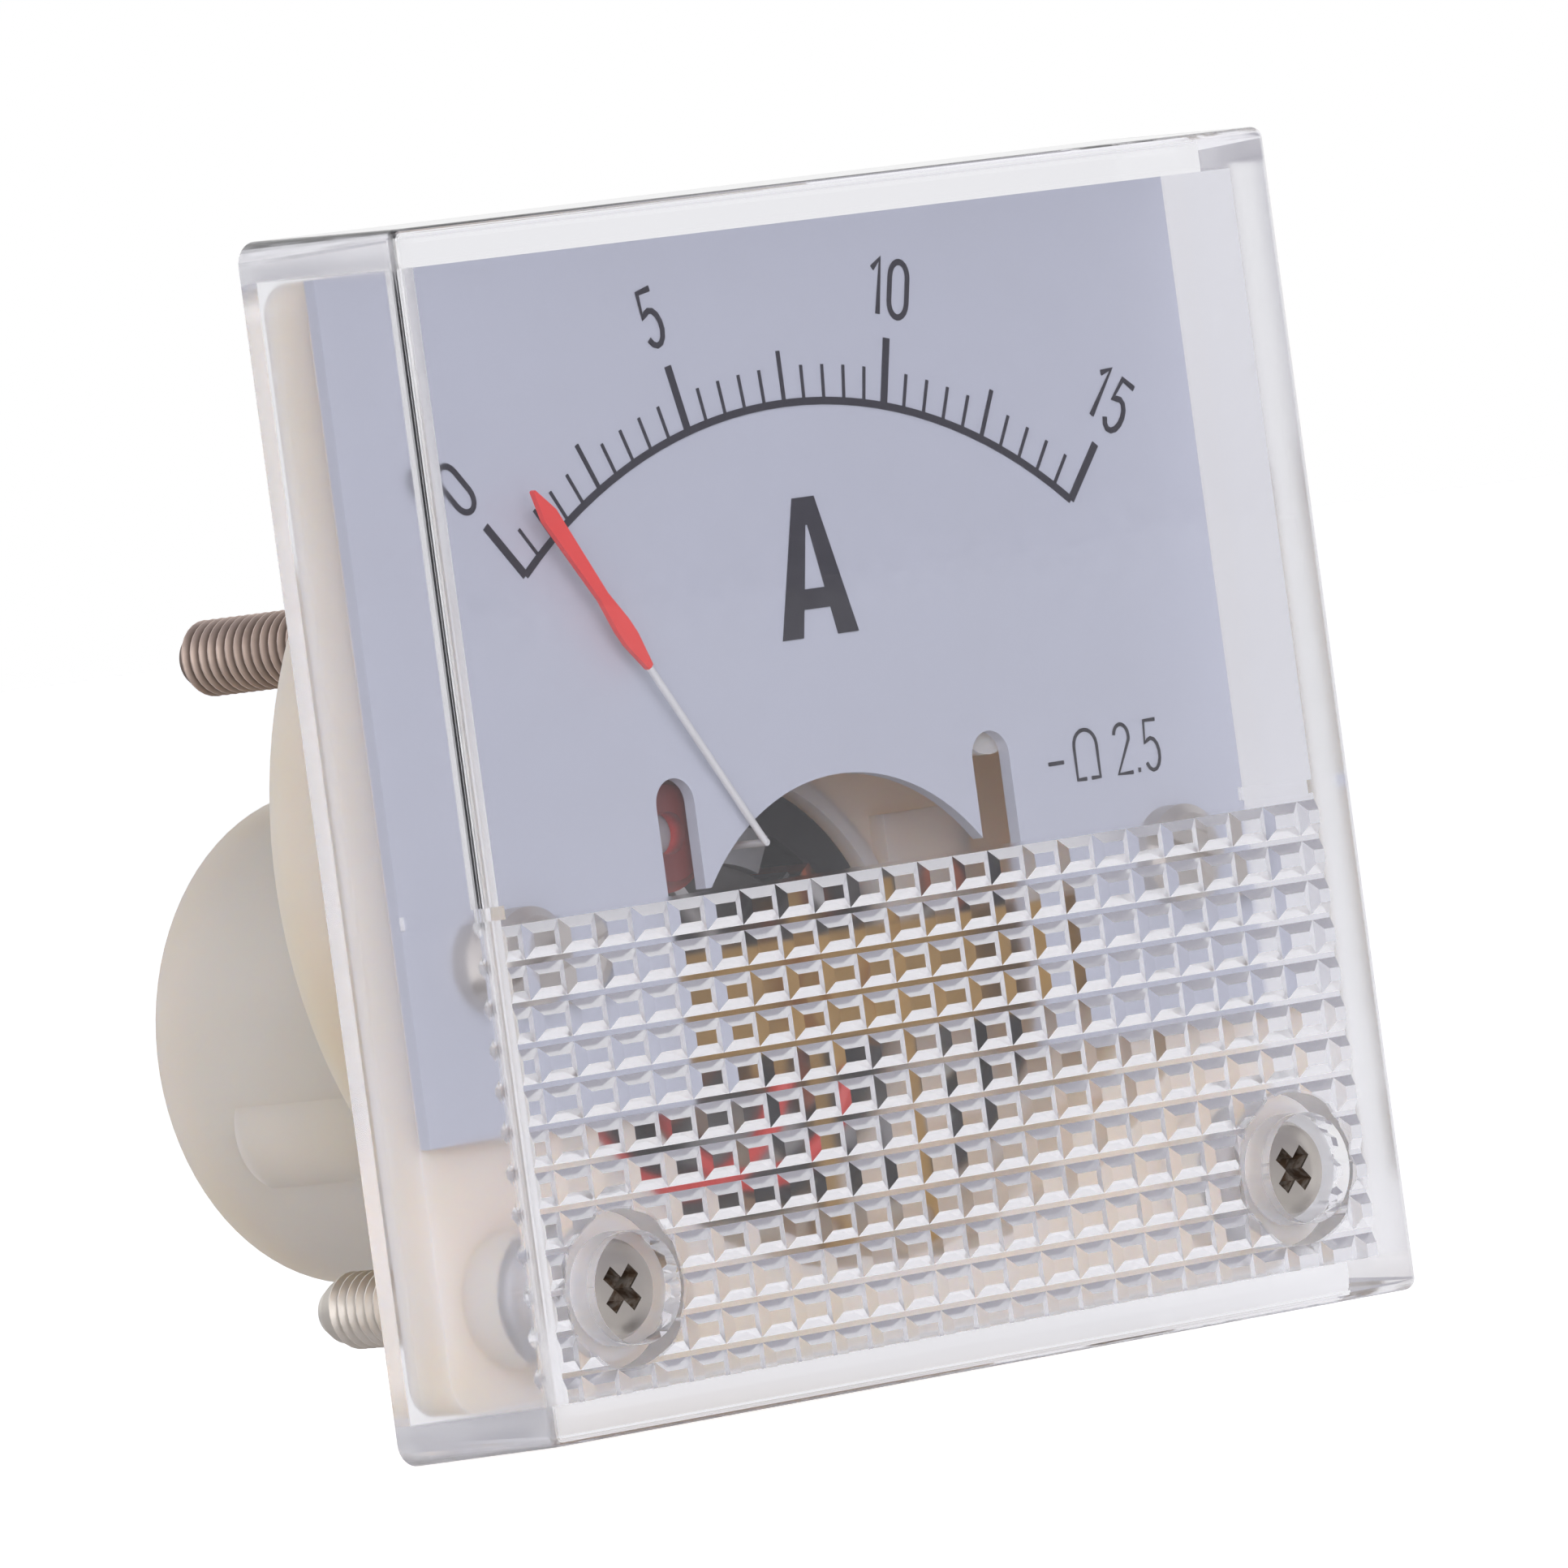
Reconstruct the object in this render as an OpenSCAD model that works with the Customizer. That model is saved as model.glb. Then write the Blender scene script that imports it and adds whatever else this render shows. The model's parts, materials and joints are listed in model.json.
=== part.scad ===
// Square moving-coil panel ammeter: clear front cover, moulded base, printed dial,
// core-magnet movement, shunt and terminals.
// X runs to the right of a reader, Y runs from the reader to the back, Z is up.
// The origin is on the axis of the round body, in the plane that seats on the panel.

/* [Front cover] */
// Width of the clear cover
cover_w = 45; // [44.5:0.5:49]
// Height of the clear cover
cover_h = 45; // [44.5:0.5:49]
// Depth of the cover in front of the panel
cover_depth = 8.25; // [8:0.25:10]
// Height of the cover's centre above the axis of the round body
cover_rise = 0.85; // [0.4:0.05:1.2]
// Thickness of the four side walls
cover_wall = 1.5; // [1.3:0.1:1.7]
// Thickness of the window
window_t = 1.5; // [1.2:0.1:1.7]
// Moulding draft of each side wall, from the rear to the front
cover_draft = 0.33; // [0.2:0.01:0.45]
// Radius of the cover's corners at the rear
cover_corner_r = 0.9; // [0.6:0.1:1.4]
// Radius of the edges round the front face
cover_edge_r = 0.45; // [0.3:0.05:0.6]

/* [Prism band] */
// Height of the band's top above the cover's bottom edge
band_h = 19.2; // [15:0.1:20]
// Width of one prism
prism_w = 1.8; // [1.5:0.1:2.4]
// Height of one prism
prism_h = 1.5; // [1.4:0.1:2]
// How deep a prism is sunk into the back of the window
prism_depth = 0.35; // [0.2:0.05:0.5]
// Width of a prism's sloping sides
prism_slope = 0.4; // [0.3:0.05:0.45]
// Height of the flat floor of a prism
prism_floor = 0.5; // [0.3:0.05:0.6]
// Height of the small rib on each side wall above the band
side_rib_h = 0.5; // [0.3:0.1:0.8]
// How far the side rib stands in from the wall
side_rib_t = 0.25; // [0.15:0.05:0.3]

/* [Cover screws] */
// Distance of a cover screw from the side of the cover
screw_inset_x = 5.3; // [5.1:0.1:5.6]
// Distance of a cover screw from the bottom of the cover
screw_inset_z = 5.55; // [5.2:0.05:5.8]
// Thread diameter of the cover screws
screw_d = 2.9; // [2.8:0.05:3]
// Head diameter of the cover screws
screw_head_d = 3.8; // [3.6:0.1:4.2]
// Head height of the cover screws
screw_head_h = 1.8; // [1.5:0.1:2]
// Depth of the screw head below the front face
screw_head_sink = 0.85; // [0.5:0.05:1.1]
// How far the screws stand out behind the panel seat
screw_out = 8.6; // [7:0.1:12]
// Diameter of the moulded sleeve round each screw
screw_sleeve_d = 5.8; // [5.4:0.1:6.2]

/* [Base moulding] */
// Thickness of the square plate
plate_t = 2.35; // [2:0.05:2.8]
// Radius of the plate's corners
plate_corner_r = 1.2; // [1:0.1:2]
// Diameter of the round body that goes through the panel
body_d = 37.8; // [37:0.1:38.6]
// Depth of the round body behind the panel seat
body_depth = 7; // [6.5:0.1:8.5]
// Wall of the round body
body_wall = 1.7; // [1.3:0.1:1.9]
// Thickness of the round body's floor
floor_t = 2.4; // [2:0.1:2.8]
// Outside diameter of the movement cup
cup_d = 19.06; // [18.9:0.02:20.5]
// Wall of the movement cup
cup_wall = 1.2; // [1:0.05:1.3]
// Thickness of the closed end of the cup
cup_end_t = 1.5; // [1.2:0.1:2]
// Depth of the cup's end behind the panel seat
cup_depth = 26.3; // [25.5:0.1:30]
// Drop of the movement's axis below the axis of the round body
pivot_drop = 6.75; // [6.4:0.05:7.2]
// How far the lip round the cup's mouth stands up from the floor
lip_h = 0.6; // [0.3:0.05:0.8]
// Thickness of the lip round the cup's mouth
lip_t = 0.65; // [0.5:0.05:0.8]
// How far the pads under the bridge's feet stand up from the floor
pad_h = 0.8; // [0.4:0.1:1]
// Height of the pads under the bridge's feet
pad_w = 11.8; // [8:0.2:13]
// Diameter of the rounded rib along each side of the cup
cup_rib_d = 5; // [4:0.1:5.4]
// Depth of the ends of the ribs behind the panel seat
cup_rib_end = 21.8; // [18:0.1:24]

/* [Dial] */
// Thickness of the dial plate
dial_t = 0.55; // [0.4:0.05:0.8]
// Height of the dial plate
dial_h = 31.85; // [30:0.05:33]
// Radius of the arch cut in the dial
arch_r = 8.95; // [8.7:0.05:9.4]
// Drop of the arch's centre below the movement's axis
arch_drop = 1.1; // [1:0.05:1.3]
// Width of the slots beside the arch
slot_w = 1.9; // [1.6:0.1:2.1]
// Distance of each slot from the middle of the dial
slot_x = 8.05; // [7.8:0.05:8.6]
// Height of a slot's round top above the movement's axis
slot_top = 8.6; // [8:0.05:9]
// Radius of the inner edge of the scale line
scale_r = 21.6; // [20:0.05:22.2]
// Half of the angle of the scale
scale_half_deg = 39.7; // [36:0.1:42]
// Width of the scale line
scale_line_w = 0.28; // [0.2:0.02:0.4]
// Number of divisions on the scale
scale_divisions = 30; // [30]
// Length of the long marks
mark_long = 2.7; // [2.4:0.05:3]
// Length of the half-way marks
mark_mid = 2.1; // [1.8:0.05:2.3]
// Length of the short marks
mark_short = 1.5; // [1.2:0.05:1.7]
// Thickness of the printed ink
ink_t = 0.05; // [0.03:0.01:0.08]
// Length of a dial screw below its head
dial_screw_l = 3.3; // [2.5:0.1:4]
// Distance of a dial screw from the edge of the dial
dial_screw_inset = 4.1; // [4:0.05:4.6]
// Height of the dial screws above the movement's axis
dial_screw_up = 2.9; // [2.4:0.1:3.4]
// Head diameter of the dial screws
dial_screw_head_d = 3.8; // [3.2:0.1:4]

/* [Movement] */
// Outside diameter of the iron yoke ring
yoke_d = 16.5; // [16:0.1:16.5]
// Bore of the iron yoke ring
yoke_bore_d = 13.2; // [12.8:0.1:13.4]
// Length of the yoke ring
yoke_l = 11; // [10:0.1:12]
// Diameter of the magnet core
core_d = 10; // [9.4:0.1:10.2]
// Width of the moving coil
coil_w = 2.6; // [2.2:0.1:3]
// Thickness of the coil's winding
winding_t = 0.6; // [0.4:0.05:0.65]
// Thickness of the coil's metal former
former_t = 0.2; // [0.15:0.05:0.25]
// Clearance of the moving coil from the core
coil_gap = 0.35; // [0.3:0.05:0.45]
// Height of the brass front bridge
bridge_h = 4; // [3:0.1:4.5]
// Thickness of the front bridge
bridge_t = 1; // [0.8:0.1:1.2]
// Half of the span between the front bridge's legs
bridge_leg_x = 9.8; // [9.7:0.05:10]
// Diameter of the jewel screws
jewel_screw_d = 1.8; // [1.6:0.1:2]
// Outside diameter of the hairsprings
spring_d = 5.8; // [5:0.1:6]
// Length of the zero lever's tail
lever_tail = 9; // [7:0.1:9.2]
// Number of turns of a hairspring
spring_turns = 3.5; // [2.5:0.5:4]

/* [Pointer] */
// Angle of the pointer at rest, from straight up
pointer_deg = -35.8; // [-42:0.1:42]
// Radius at which the pointer is cranked forward
crank_r = 7.1; // [6.9:0.05:7.2]
// Radius of the pointer's tip
pointer_r = 24.35; // [23:0.05:24.6]
// Length of the painted lance
lance_l = 8.6; // [7:0.1:10]
// Widest width of the lance
lance_w = 0.75; // [0.5:0.05:0.9]
// Diameter of the needle tube
needle_d = 0.28; // [0.22:0.02:0.32]
// Gap between the needle's root and the dial
pointer_gap = 0.35; // [0.3:0.05:0.6]
// How far the tip stands forward of the needle's root
pointer_lean = 1.05; // [0.6:0.05:1.3]

/* [Terminals] */
// Distance of each terminal from the middle
terminal_x = 12; // [11.4:0.1:12.1]
// Height of the terminals above the axis of the round body
terminal_z = 8.4; // [7.8:0.1:8.5]
// Depth of the terminal tips behind the panel seat
terminal_out = 17.6; // [14:0.1:20]
// Head diameter of the terminal studs
terminal_head_d = 4.8; // [4.4:0.1:4.9]
// Thickness of the shunt strip
shunt_t = 0.8; // [0.5:0.1:1]
// Width of the shunt strip
shunt_w = 3.4; // [2.6:0.1:4]
// Length of a solder tag's tail
tag_tail = 4.6; // [4:0.1:5]
// Distance between the saw cuts in the shunt
shunt_cut_pitch = 3; // [2:0.1:3.6]
// Diameter of the series resistor
resistor_d = 4.4; // [3.6:0.1:4.6]
// Length of the series resistor
resistor_l = 4.5; // [3.5:0.1:5]

/* [Hidden] */
$fn = 64;

// Small named clearances and play
base_gap = 0.06;         // between the base plate and the cover's walls
dial_gap = 0.08;         // between the dial and the cover's walls
screw_play = 0.12;       // round a screw in the cover
waist_play = 0.06;       // round a cover screw's waist in the base, too tight for its thread to pass
thread_relief = 0.5;     // depth of the wider mouth behind it, where the thread begins
cement_gap = 0.03;       // for the cement between the rear bridge and the magnet and yoke
head_play = 0.2;         // round a screw head in its counterbore
yoke_play = 0.08;        // round the yoke ring in the cup
lever_play = 0.06;       // between the zero lever and what it turns on
pivot_play = 0.1;        // between a pivot's point and the bottom of its jewel
seat_depth = 0.6;        // width of the ledge that the yoke ring seats on
sleeve_floor = 1;        // thickness of a screw sleeve under the screw head
post_inset = 0.3;        // how much slimmer the base's screw posts are than the sleeves
overlap = 0.3;           // how far joined shapes of one moulding run into each other
cut = 1;                 // how far a cutter runs past a face

// Planes along Y
window_back = window_t - cover_depth;
plate_front = -plate_t;
dial_front = plate_front - dial_t;
floor_front = body_depth - floor_t;
yoke_front = floor_front;
yoke_back = yoke_front + yoke_l;
core_inset = 0.4;
core_front = floor_front + core_inset;
core_back = yoke_back - core_inset;
coil_end_gap = 0.4;
coil_wall = former_t + winding_t;
coil_front = core_front - coil_end_gap - coil_wall;
coil_back = core_back + coil_end_gap + coil_wall;
hub_t = 1.2;
spigot_l = 1;
point_l = 1.2;
staff_front = coil_front - hub_t;
staff_back = coil_back + hub_t;
jewel_reach = 0.6;
arm_y = staff_front + 0.5;
arm_t = 0.3;
front_jewel_end = staff_front - spigot_l - point_l + jewel_reach;
rear_jewel_end = staff_back + spigot_l + point_l - jewel_reach;
lever_t = 0.4;
front_bridge_back = front_jewel_end - 0.9;
front_bridge_front = front_bridge_back - bridge_t;
rear_bridge_front = rear_jewel_end + 0.9;
rear_bridge_back = rear_bridge_front + 1.2;
jewel_screw_l = 3;
lock_nut_t = 0.8;

// Places across X and Z
axis_z = -pivot_drop;
cover_top = cover_rise + cover_h / 2;
cover_bottom = cover_rise - cover_h / 2;
band_top = cover_bottom + band_h;
prism_front = window_back - prism_depth;
screw_x = cover_w / 2 - screw_inset_x;
screw_z = cover_bottom + screw_inset_z;
post_front = screw_head_sink + screw_head_h + sleeve_floor - cover_depth;
plate_half_w = inner_half(cover_w, plate_front) - base_gap;
plate_half_h = inner_half(cover_h, plate_front) - base_gap;
dial_half_w = inner_half(cover_w, dial_front) - dial_gap;
dial_top = cover_rise + inner_half(cover_h, dial_front) - dial_gap;
dial_bottom = dial_top - dial_h;
dial_screw_x = dial_half_w - dial_screw_inset;
dial_screw_z = axis_z + dial_screw_up;
body_r = body_d / 2;
body_bore_r = body_r - body_wall;
cup_r = cup_d / 2;
cup_bore_r = cup_r - cup_wall;
yoke_r = min(yoke_d / 2, cup_bore_r - yoke_play);
yoke_bore_r = yoke_bore_d / 2;
core_r = core_d / 2;
coil_in = core_r + coil_gap;
jewel_screw_r = jewel_screw_d / 2;
spigot_r = 0.55;
pivot_r = 0.2;
spring_r = spring_d / 2;
spring_h = 0.4;
spring_t = 0.14;
stud_r = 0.3;
stud_place_r = spring_r + stud_r + 0.1;
slot_r = slot_w / 2;
lug_r = 1.7;
tag_w = 1.6;
tag_eye_r = 0.35;
lever_ring_r = 2.2;
lever_w = 1.1;
lever_end_r = 1;
lever_eye_r = 0.4;
neck_r = screw_d / 2 + 0.4;
waist_r = screw_d / 2 - 0.2;
resistor_x = slot_x - 0.35;
resistor_z = axis_z + slot_top - 2;
lip_in = cup_bore_r + yoke_play;
bridge_screw_r = 0.8;
bridge_head_r = 1.1;
bridge_screw_x = bridge_leg_x + bridge_t / 2 + bridge_head_r + 0.1;
foot_end_x = bridge_screw_x + bridge_head_r;
foot_seat = floor_front - pad_h;

// Cover walls: half of the inner width at depth y, for an outer size
function inner_half(size, y) = size / 2 - cover_wall + cover_draft * y / cover_depth;

// Working forms ------------------------------------------------------------

// A flat shape drawn in X and Z, between two planes along Y
module slab(y0, y1) {
    translate([0, y1, 0]) rotate([90, 0, 0]) linear_extrude(height = y1 - y0) children();
}

// A shape drawn in Y and Z, running across X
module across(width) {
    rotate([90, 0, 90]) linear_extrude(height = width, center = true) children();
}

// A round rod along Y
module rod(x, z, r, y0, y1) {
    translate([x, y1, z]) rotate([90, 0, 0]) cylinder(r = r, h = y1 - y0);
}

// A turned part about a line along Y, from [radius, y] points
module turned(x, z, points) {
    translate([x, 0, z]) rotate([-90, 0, 0]) rotate_extrude() polygon(points);
}

// A flat rectangle with round corners, centred
module round_rect(half_w, half_h, r) {
    for (sx = [-1, 1], sz = [-1, 1])
        translate([sx * (half_w - r), sz * (half_h - r)]) circle(r = r);
    square([2 * half_w, 2 * (half_h - r)], center = true);
    square([2 * (half_w - r), 2 * half_h], center = true);
}

// Everything that turns with the coil, drawn with the pointer straight up
module on_coil() {
    translate([0, 0, axis_z]) rotate([0, pointer_deg, 0]) children();
}

// A pan-head screw along Y: the head lies in front of the seat, and a thinner waist runs from it
module pan_screw(x, z, r, head_r, head_h, seat, tip, waist_r, waist_end) {
    edge = head_h * 0.3;
    nose = r * 0.35;
    turned(x, z, [
        [0, seat - head_h], [head_r - edge, seat - head_h], [head_r, seat - head_h + edge],
        [head_r, seat], [waist_r, seat], [waist_r, waist_end], [r, waist_end + r - waist_r],
        [r, tip - nose], [r - nose, tip], [0, tip]
    ]);
}

// Front cover --------------------------------------------------------------

module cover_outside() {
    front_w = cover_w / 2 - cover_draft - cover_edge_r;
    front_h = cover_h / 2 - cover_draft - cover_edge_r;
    rear_w = cover_w / 2 - cover_corner_r;
    rear_h = cover_h / 2 - cover_corner_r;
    translate([0, 0, cover_rise]) hull() {
        for (sx = [-1, 1], sz = [-1, 1]) {
            translate([sx * front_w, cover_edge_r - cover_depth, sz * front_h])
                rotate([90, 0, 0]) sphere(r = cover_edge_r, $fn = 32);
            translate([sx * rear_w, 0, sz * rear_h])
                rotate([90, 0, 0]) cylinder(r = cover_corner_r, h = 0.05, $fn = 32);
        }
    }
}

module cover_cavity() {
    rear_w = inner_half(cover_w, cut);
    rear_h = inner_half(cover_h, cut);
    front_w = inner_half(cover_w, window_back);
    front_h = inner_half(cover_h, window_back);
    intersection() {
        translate([0, 0, cover_rise]) linear_extrude(height = cover_h, center = true)
            polygon([[-rear_w, cut], [rear_w, cut], [front_w, window_back], [-front_w, window_back]]);
        translate([0, 0, cover_rise]) across(cover_w)
            polygon([[cut, -rear_h], [cut, rear_h], [window_back, front_h], [window_back, -front_h]]);
    }
}

// Prisms sunk into the back of the window: columns edge to edge, rows with a flat strip between them
module prism_hollows() {
    half_w = inner_half(cover_w, window_back);
    bottom = cover_rise - inner_half(cover_h, window_back);
    columns = ceil(half_w / prism_w);
    rows = ceil((band_top - bottom) / prism_h);
    column_line = [for (i = [-columns : columns - 1]) each [
        [i * prism_w, window_back],
        [i * prism_w + prism_slope, prism_front],
        [(i + 1) * prism_w - prism_slope, prism_front]
    ]];
    row_line = [for (j = [0 : rows - 1]) each [
        [window_back, band_top - j * prism_h],
        [prism_front, band_top - j * prism_h - prism_slope],
        [prism_front, band_top - j * prism_h - prism_slope - prism_floor],
        [window_back, band_top - j * prism_h - 2 * prism_slope - prism_floor]
    ]];
    intersection() {
        translate([0, 0, bottom]) linear_extrude(height = band_top - bottom)
            polygon(concat(column_line, [
                [columns * prism_w, window_back], [columns * prism_w, window_back + cut],
                [-columns * prism_w, window_back + cut]
            ]));
        across(2 * half_w) polygon(concat(row_line, [
            [window_back, band_top - rows * prism_h], [window_back + cut, band_top - rows * prism_h],
            [window_back + cut, band_top]
        ]));
    }
}

// A thin rib on each side wall, just above the prisms
module side_ribs() {
    reach = inner_half(cover_w, window_back) - side_rib_t;
    for (s = [-1, 1]) {
        translate([s * (reach + side_rib_t), (window_back + dial_front - dial_gap) / 2, band_top + side_rib_h])
            cube([2 * side_rib_t, dial_front - dial_gap - window_back, side_rib_h], center = true);
    }
}

module front_cover() {
    head_seat = screw_head_sink + screw_head_h - cover_depth;
    color([0.86, 0.87, 0.9, 0.35]) difference() {
        union() {
            difference() {
                cover_outside();
                cover_cavity();
                prism_hollows();
            }
            side_ribs();
            for (s = [-1, 1])
                rod(s * screw_x, screw_z, screw_sleeve_d / 2, prism_front - overlap, post_front);
        }
        for (s = [-1, 1]) {
            rod(s * screw_x, screw_z, screw_d / 2 + screw_play, -cover_depth - cut, cut);
            rod(s * screw_x, screw_z, screw_head_d / 2 + head_play, -cover_depth - cut, head_seat);
        }
    }
}

// Base moulding ------------------------------------------------------------

// The rounded rib along each side of the cup
module cup_ribs() {
    rib_r = cup_rib_d / 2;
    place = cup_r - rib_r + 0.55;
    for (s = [-1, 1])
        rod(s * place * cos(22), axis_z - place * sin(22), rib_r, body_depth - overlap, cup_rib_end);
}

// Posts that stand on the floor: two carry the dial screws, one the resistor, one the dial
module base_posts() {
    for (s = [-1, 1])
        rod(s * dial_screw_x, dial_screw_z, lug_r, plate_front, floor_front + overlap);
    rod(-resistor_x, resistor_z, 0.8, plate_front + 1.2, floor_front + overlap);
    rod(slot_x + 0.5, axis_z + slot_top + 0.5, 1.4, plate_front, floor_front + overlap);
}

// Posts on the front that carry the cover's screw sleeves
module screw_posts() {
    for (s = [-1, 1])
        rod(s * screw_x, screw_z, screw_sleeve_d / 2 - post_inset, post_front, plate_front + overlap);
}

// Pads for the bridge's feet, and the lip round the cup's mouth
module base_pads() {
    for (s = [-1, 1])
        translate([0, 0, axis_z]) slab(foot_seat, floor_front + overlap) intersection() {
            translate([s * (lip_in + foot_end_x + 0.1) / 2, 0])
                square([foot_end_x + 0.1 - lip_in, pad_w], center = true);
            difference() {
                circle(r = body_bore_r);
                circle(r = lip_in + lip_t / 2);
            }
        }
    rod(0, axis_z, lip_in + lip_t, floor_front - lip_h, floor_front + overlap);
}

module base_case() {
    edge = 0.3;
    color([0.82, 0.79, 0.75]) difference() {
        union() {
            difference() {
                union() {
                    translate([0, 0, cover_rise])
                        slab(plate_front, 0) round_rect(plate_half_w, plate_half_h, plate_corner_r);
                    turned(0, 0, [
                        [0, -overlap], [body_r, -overlap], [body_r, body_depth - edge],
                        [body_r - edge, body_depth], [0, body_depth]
                    ]);
                }
                rod(0, 0, body_bore_r, plate_front - cut, floor_front);
            }
            turned(0, axis_z, [
                [0, floor_front], [cup_r, floor_front], [cup_r, cup_depth - 2 * edge],
                [cup_r - 2 * edge, cup_depth], [0, cup_depth]
            ]);
            cup_ribs();
            screw_posts();
            base_posts();
            base_pads();
        }
        // bore of the cup, with the ledge that the yoke ring seats on
        turned(0, axis_z, [
            [0, floor_front - cut], [lip_in, floor_front - cut],
            [lip_in, floor_front + edge], [cup_bore_r, floor_front + 2 * edge],
            [cup_bore_r, yoke_back], [cup_bore_r - seat_depth, yoke_back],
            [cup_bore_r - seat_depth, cup_depth - cup_end_t], [0, cup_depth - cup_end_t]
        ]);
        for (s = [-1, 1]) {
            rod(s * screw_x, screw_z, waist_r + waist_play, post_front - cut, cut);
            rod(s * screw_x, screw_z, screw_d / 2 + screw_play, -thread_relief, cut);
            rod(s * terminal_x, terminal_z, neck_r, floor_front - cut, body_depth + cut);
            rod(s * dial_screw_x, dial_screw_z, 0.9, plate_front - cut, dial_front + dial_screw_l + screw_play);
            rod(s * bridge_screw_x, axis_z, bridge_screw_r, foot_seat - cut, foot_seat + 2.1);
        }
    }
}

// Dial ---------------------------------------------------------------------

module dial_outline() {
    junction = axis_z + 4.4;
    difference() {
        translate([-dial_half_w, dial_bottom]) square([2 * dial_half_w, dial_h]);
        translate([0.25, axis_z - arch_drop]) circle(r = arch_r);
        for (s = [-1, 1]) {
            translate([s * slot_x, axis_z + slot_top - slot_r]) circle(r = slot_r);
            translate([s * slot_x - slot_r, dial_bottom - cut])
                square([slot_w, axis_z + slot_top - slot_r - dial_bottom + cut]);
        }
        translate([-slot_x - slot_r, dial_bottom - cut])
            square([2 * (slot_x + slot_r), junction - dial_bottom + cut]);
        for (s = [-1, 1])
            translate([s * dial_screw_x, dial_screw_z]) circle(r = 1.1);
    }
}

function mark_length(i) = i % 10 == 0 ? mark_long : i % 5 == 0 ? mark_mid : mark_short;
function mark_width(i) = i % 10 == 0 ? 0.32 : i % 5 == 0 ? 0.18 : 0.13;

// The printed scale, as a thin layer of ink
module scale_print() {
    step = 2 * scale_half_deg / scale_divisions;
    translate([0, dial_front + ink_t / 2, axis_z]) rotate([90, 0, 0]) {
        rotate([0, 0, 90 - scale_half_deg]) rotate_extrude(angle = 2 * scale_half_deg, $fn = 200)
            translate([scale_r, 0]) square([scale_line_w, 1.5 * ink_t]);
        for (i = [0 : scale_divisions])
            rotate([0, 0, scale_half_deg - i * step])
                translate([-mark_width(i) / 2, scale_r + scale_line_w / 2, 0])
                    cube([mark_width(i), mark_length(i) - scale_line_w / 2, 1.5 * ink_t]);
    }
}

module dial_plate() {
    color([0.7, 0.72, 0.78]) {
        slab(dial_front, plate_front) dial_outline();
        scale_print();
    }
}

// A slotted dial screw
module dial_screw(s) {
    head_h = 1.2;
    color([0.72, 0.71, 0.7]) difference() {
        pan_screw(s * dial_screw_x, dial_screw_z, 0.9, dial_screw_head_d / 2, head_h,
            dial_front, dial_front + dial_screw_l, 0.8, plate_front - 0.1);
        translate([s * dial_screw_x, dial_front - head_h, dial_screw_z]) rotate([0, s * 25, 0])
            cube([dial_screw_head_d + cut, 1, 0.5], center = true);
    }
}

module dial_screw_left() { dial_screw(-1); }
module dial_screw_right() { dial_screw(1); }

// Fasteners and terminals ---------------------------------------------------

// A cross-recessed screw that clamps the cover and stands out behind as a mounting stud
module cover_screw(s) {
    seat = screw_head_sink + screw_head_h - cover_depth;
    recess = 1.1;
    color([0.62, 0.6, 0.58]) difference() {
        pan_screw(s * screw_x, screw_z, screw_d / 2, screw_head_d / 2, screw_head_h, seat, screw_out,
            waist_r, 0);
        translate([s * screw_x, seat - screw_head_h, screw_z]) rotate([0, 38, 0]) {
            cube([2.2, 2 * recess, 0.55], center = true);
            cube([0.55, 2 * recess, 2.2], center = true);
        }
    }
}

module cover_screw_left() { cover_screw(-1); }
module cover_screw_right() { cover_screw(1); }

tag_t = 0.3;
terminal_head_back = floor_front - shunt_t - tag_t;

// A terminal stud: its head clamps the solder tag and the shunt to the floor
module terminal_stud(s) {
    nose = 0.65;
    head_h = 2;
    r = screw_d / 2;
    color([0.56, 0.53, 0.5]) turned(s * terminal_x, terminal_z, [
        [0, terminal_head_back - head_h], [terminal_head_d / 2 - 0.4, terminal_head_back - head_h],
        [terminal_head_d / 2, terminal_head_back - head_h + 0.4],
        [terminal_head_d / 2, terminal_head_back], [neck_r, terminal_head_back],
        [neck_r, body_depth], [r, body_depth], [r, terminal_out - nose], [r - nose, terminal_out], [0, terminal_out]
    ]);
}

module terminal_stud_left() { terminal_stud(-1); }
module terminal_stud_right() { terminal_stud(1); }

module solder_tag(s) {
    tail = tag_tail;
    color([0.78, 0.77, 0.72]) slab(terminal_head_back, terminal_head_back + tag_t)
        translate([s * terminal_x, terminal_z]) difference() {
            union() {
                circle(r = terminal_head_d / 2);
                translate([-tag_w / 2, -tail]) square([tag_w, tail]);
                translate([0, -tail]) circle(r = tag_w / 2);
            }
            circle(r = neck_r);
            translate([0, -tail]) circle(r = tag_eye_r);
        }
}

module solder_tag_left() { solder_tag(-1); }
module solder_tag_right() { solder_tag(1); }

// The shunt: a strip between the studs, trimmed by saw cuts
module shunt_strip() {
    color([0.66, 0.44, 0.3]) slab(floor_front - shunt_t, floor_front)
        translate([0, terminal_z]) difference() {
            union() {
                square([2 * terminal_x, shunt_w], center = true);
                for (s = [-1, 1]) translate([s * terminal_x, 0]) circle(r = terminal_head_d / 2);
            }
            for (s = [-1, 1]) translate([s * terminal_x, 0]) circle(r = neck_r);
            for (i = [-1 : 1]) translate([i * shunt_cut_pitch, shunt_w / 2]) square([0.4, shunt_w], center = true);
        }
}

// A lacquered, wire-wound sleeve on its post behind the left slot
module series_resistor() {
    r = resistor_d / 2;
    front = plate_front + 0.4;
    back = front + resistor_l;
    color([0.78, 0.22, 0.2]) turned(-resistor_x, resistor_z, [
        [0.8, front], [r - 0.4, front], [r, front + 0.4],
        [r, back - 0.4], [r - 0.4, back], [0.8, back]
    ]);
}

// Movement, fixed parts ------------------------------------------------------

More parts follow.
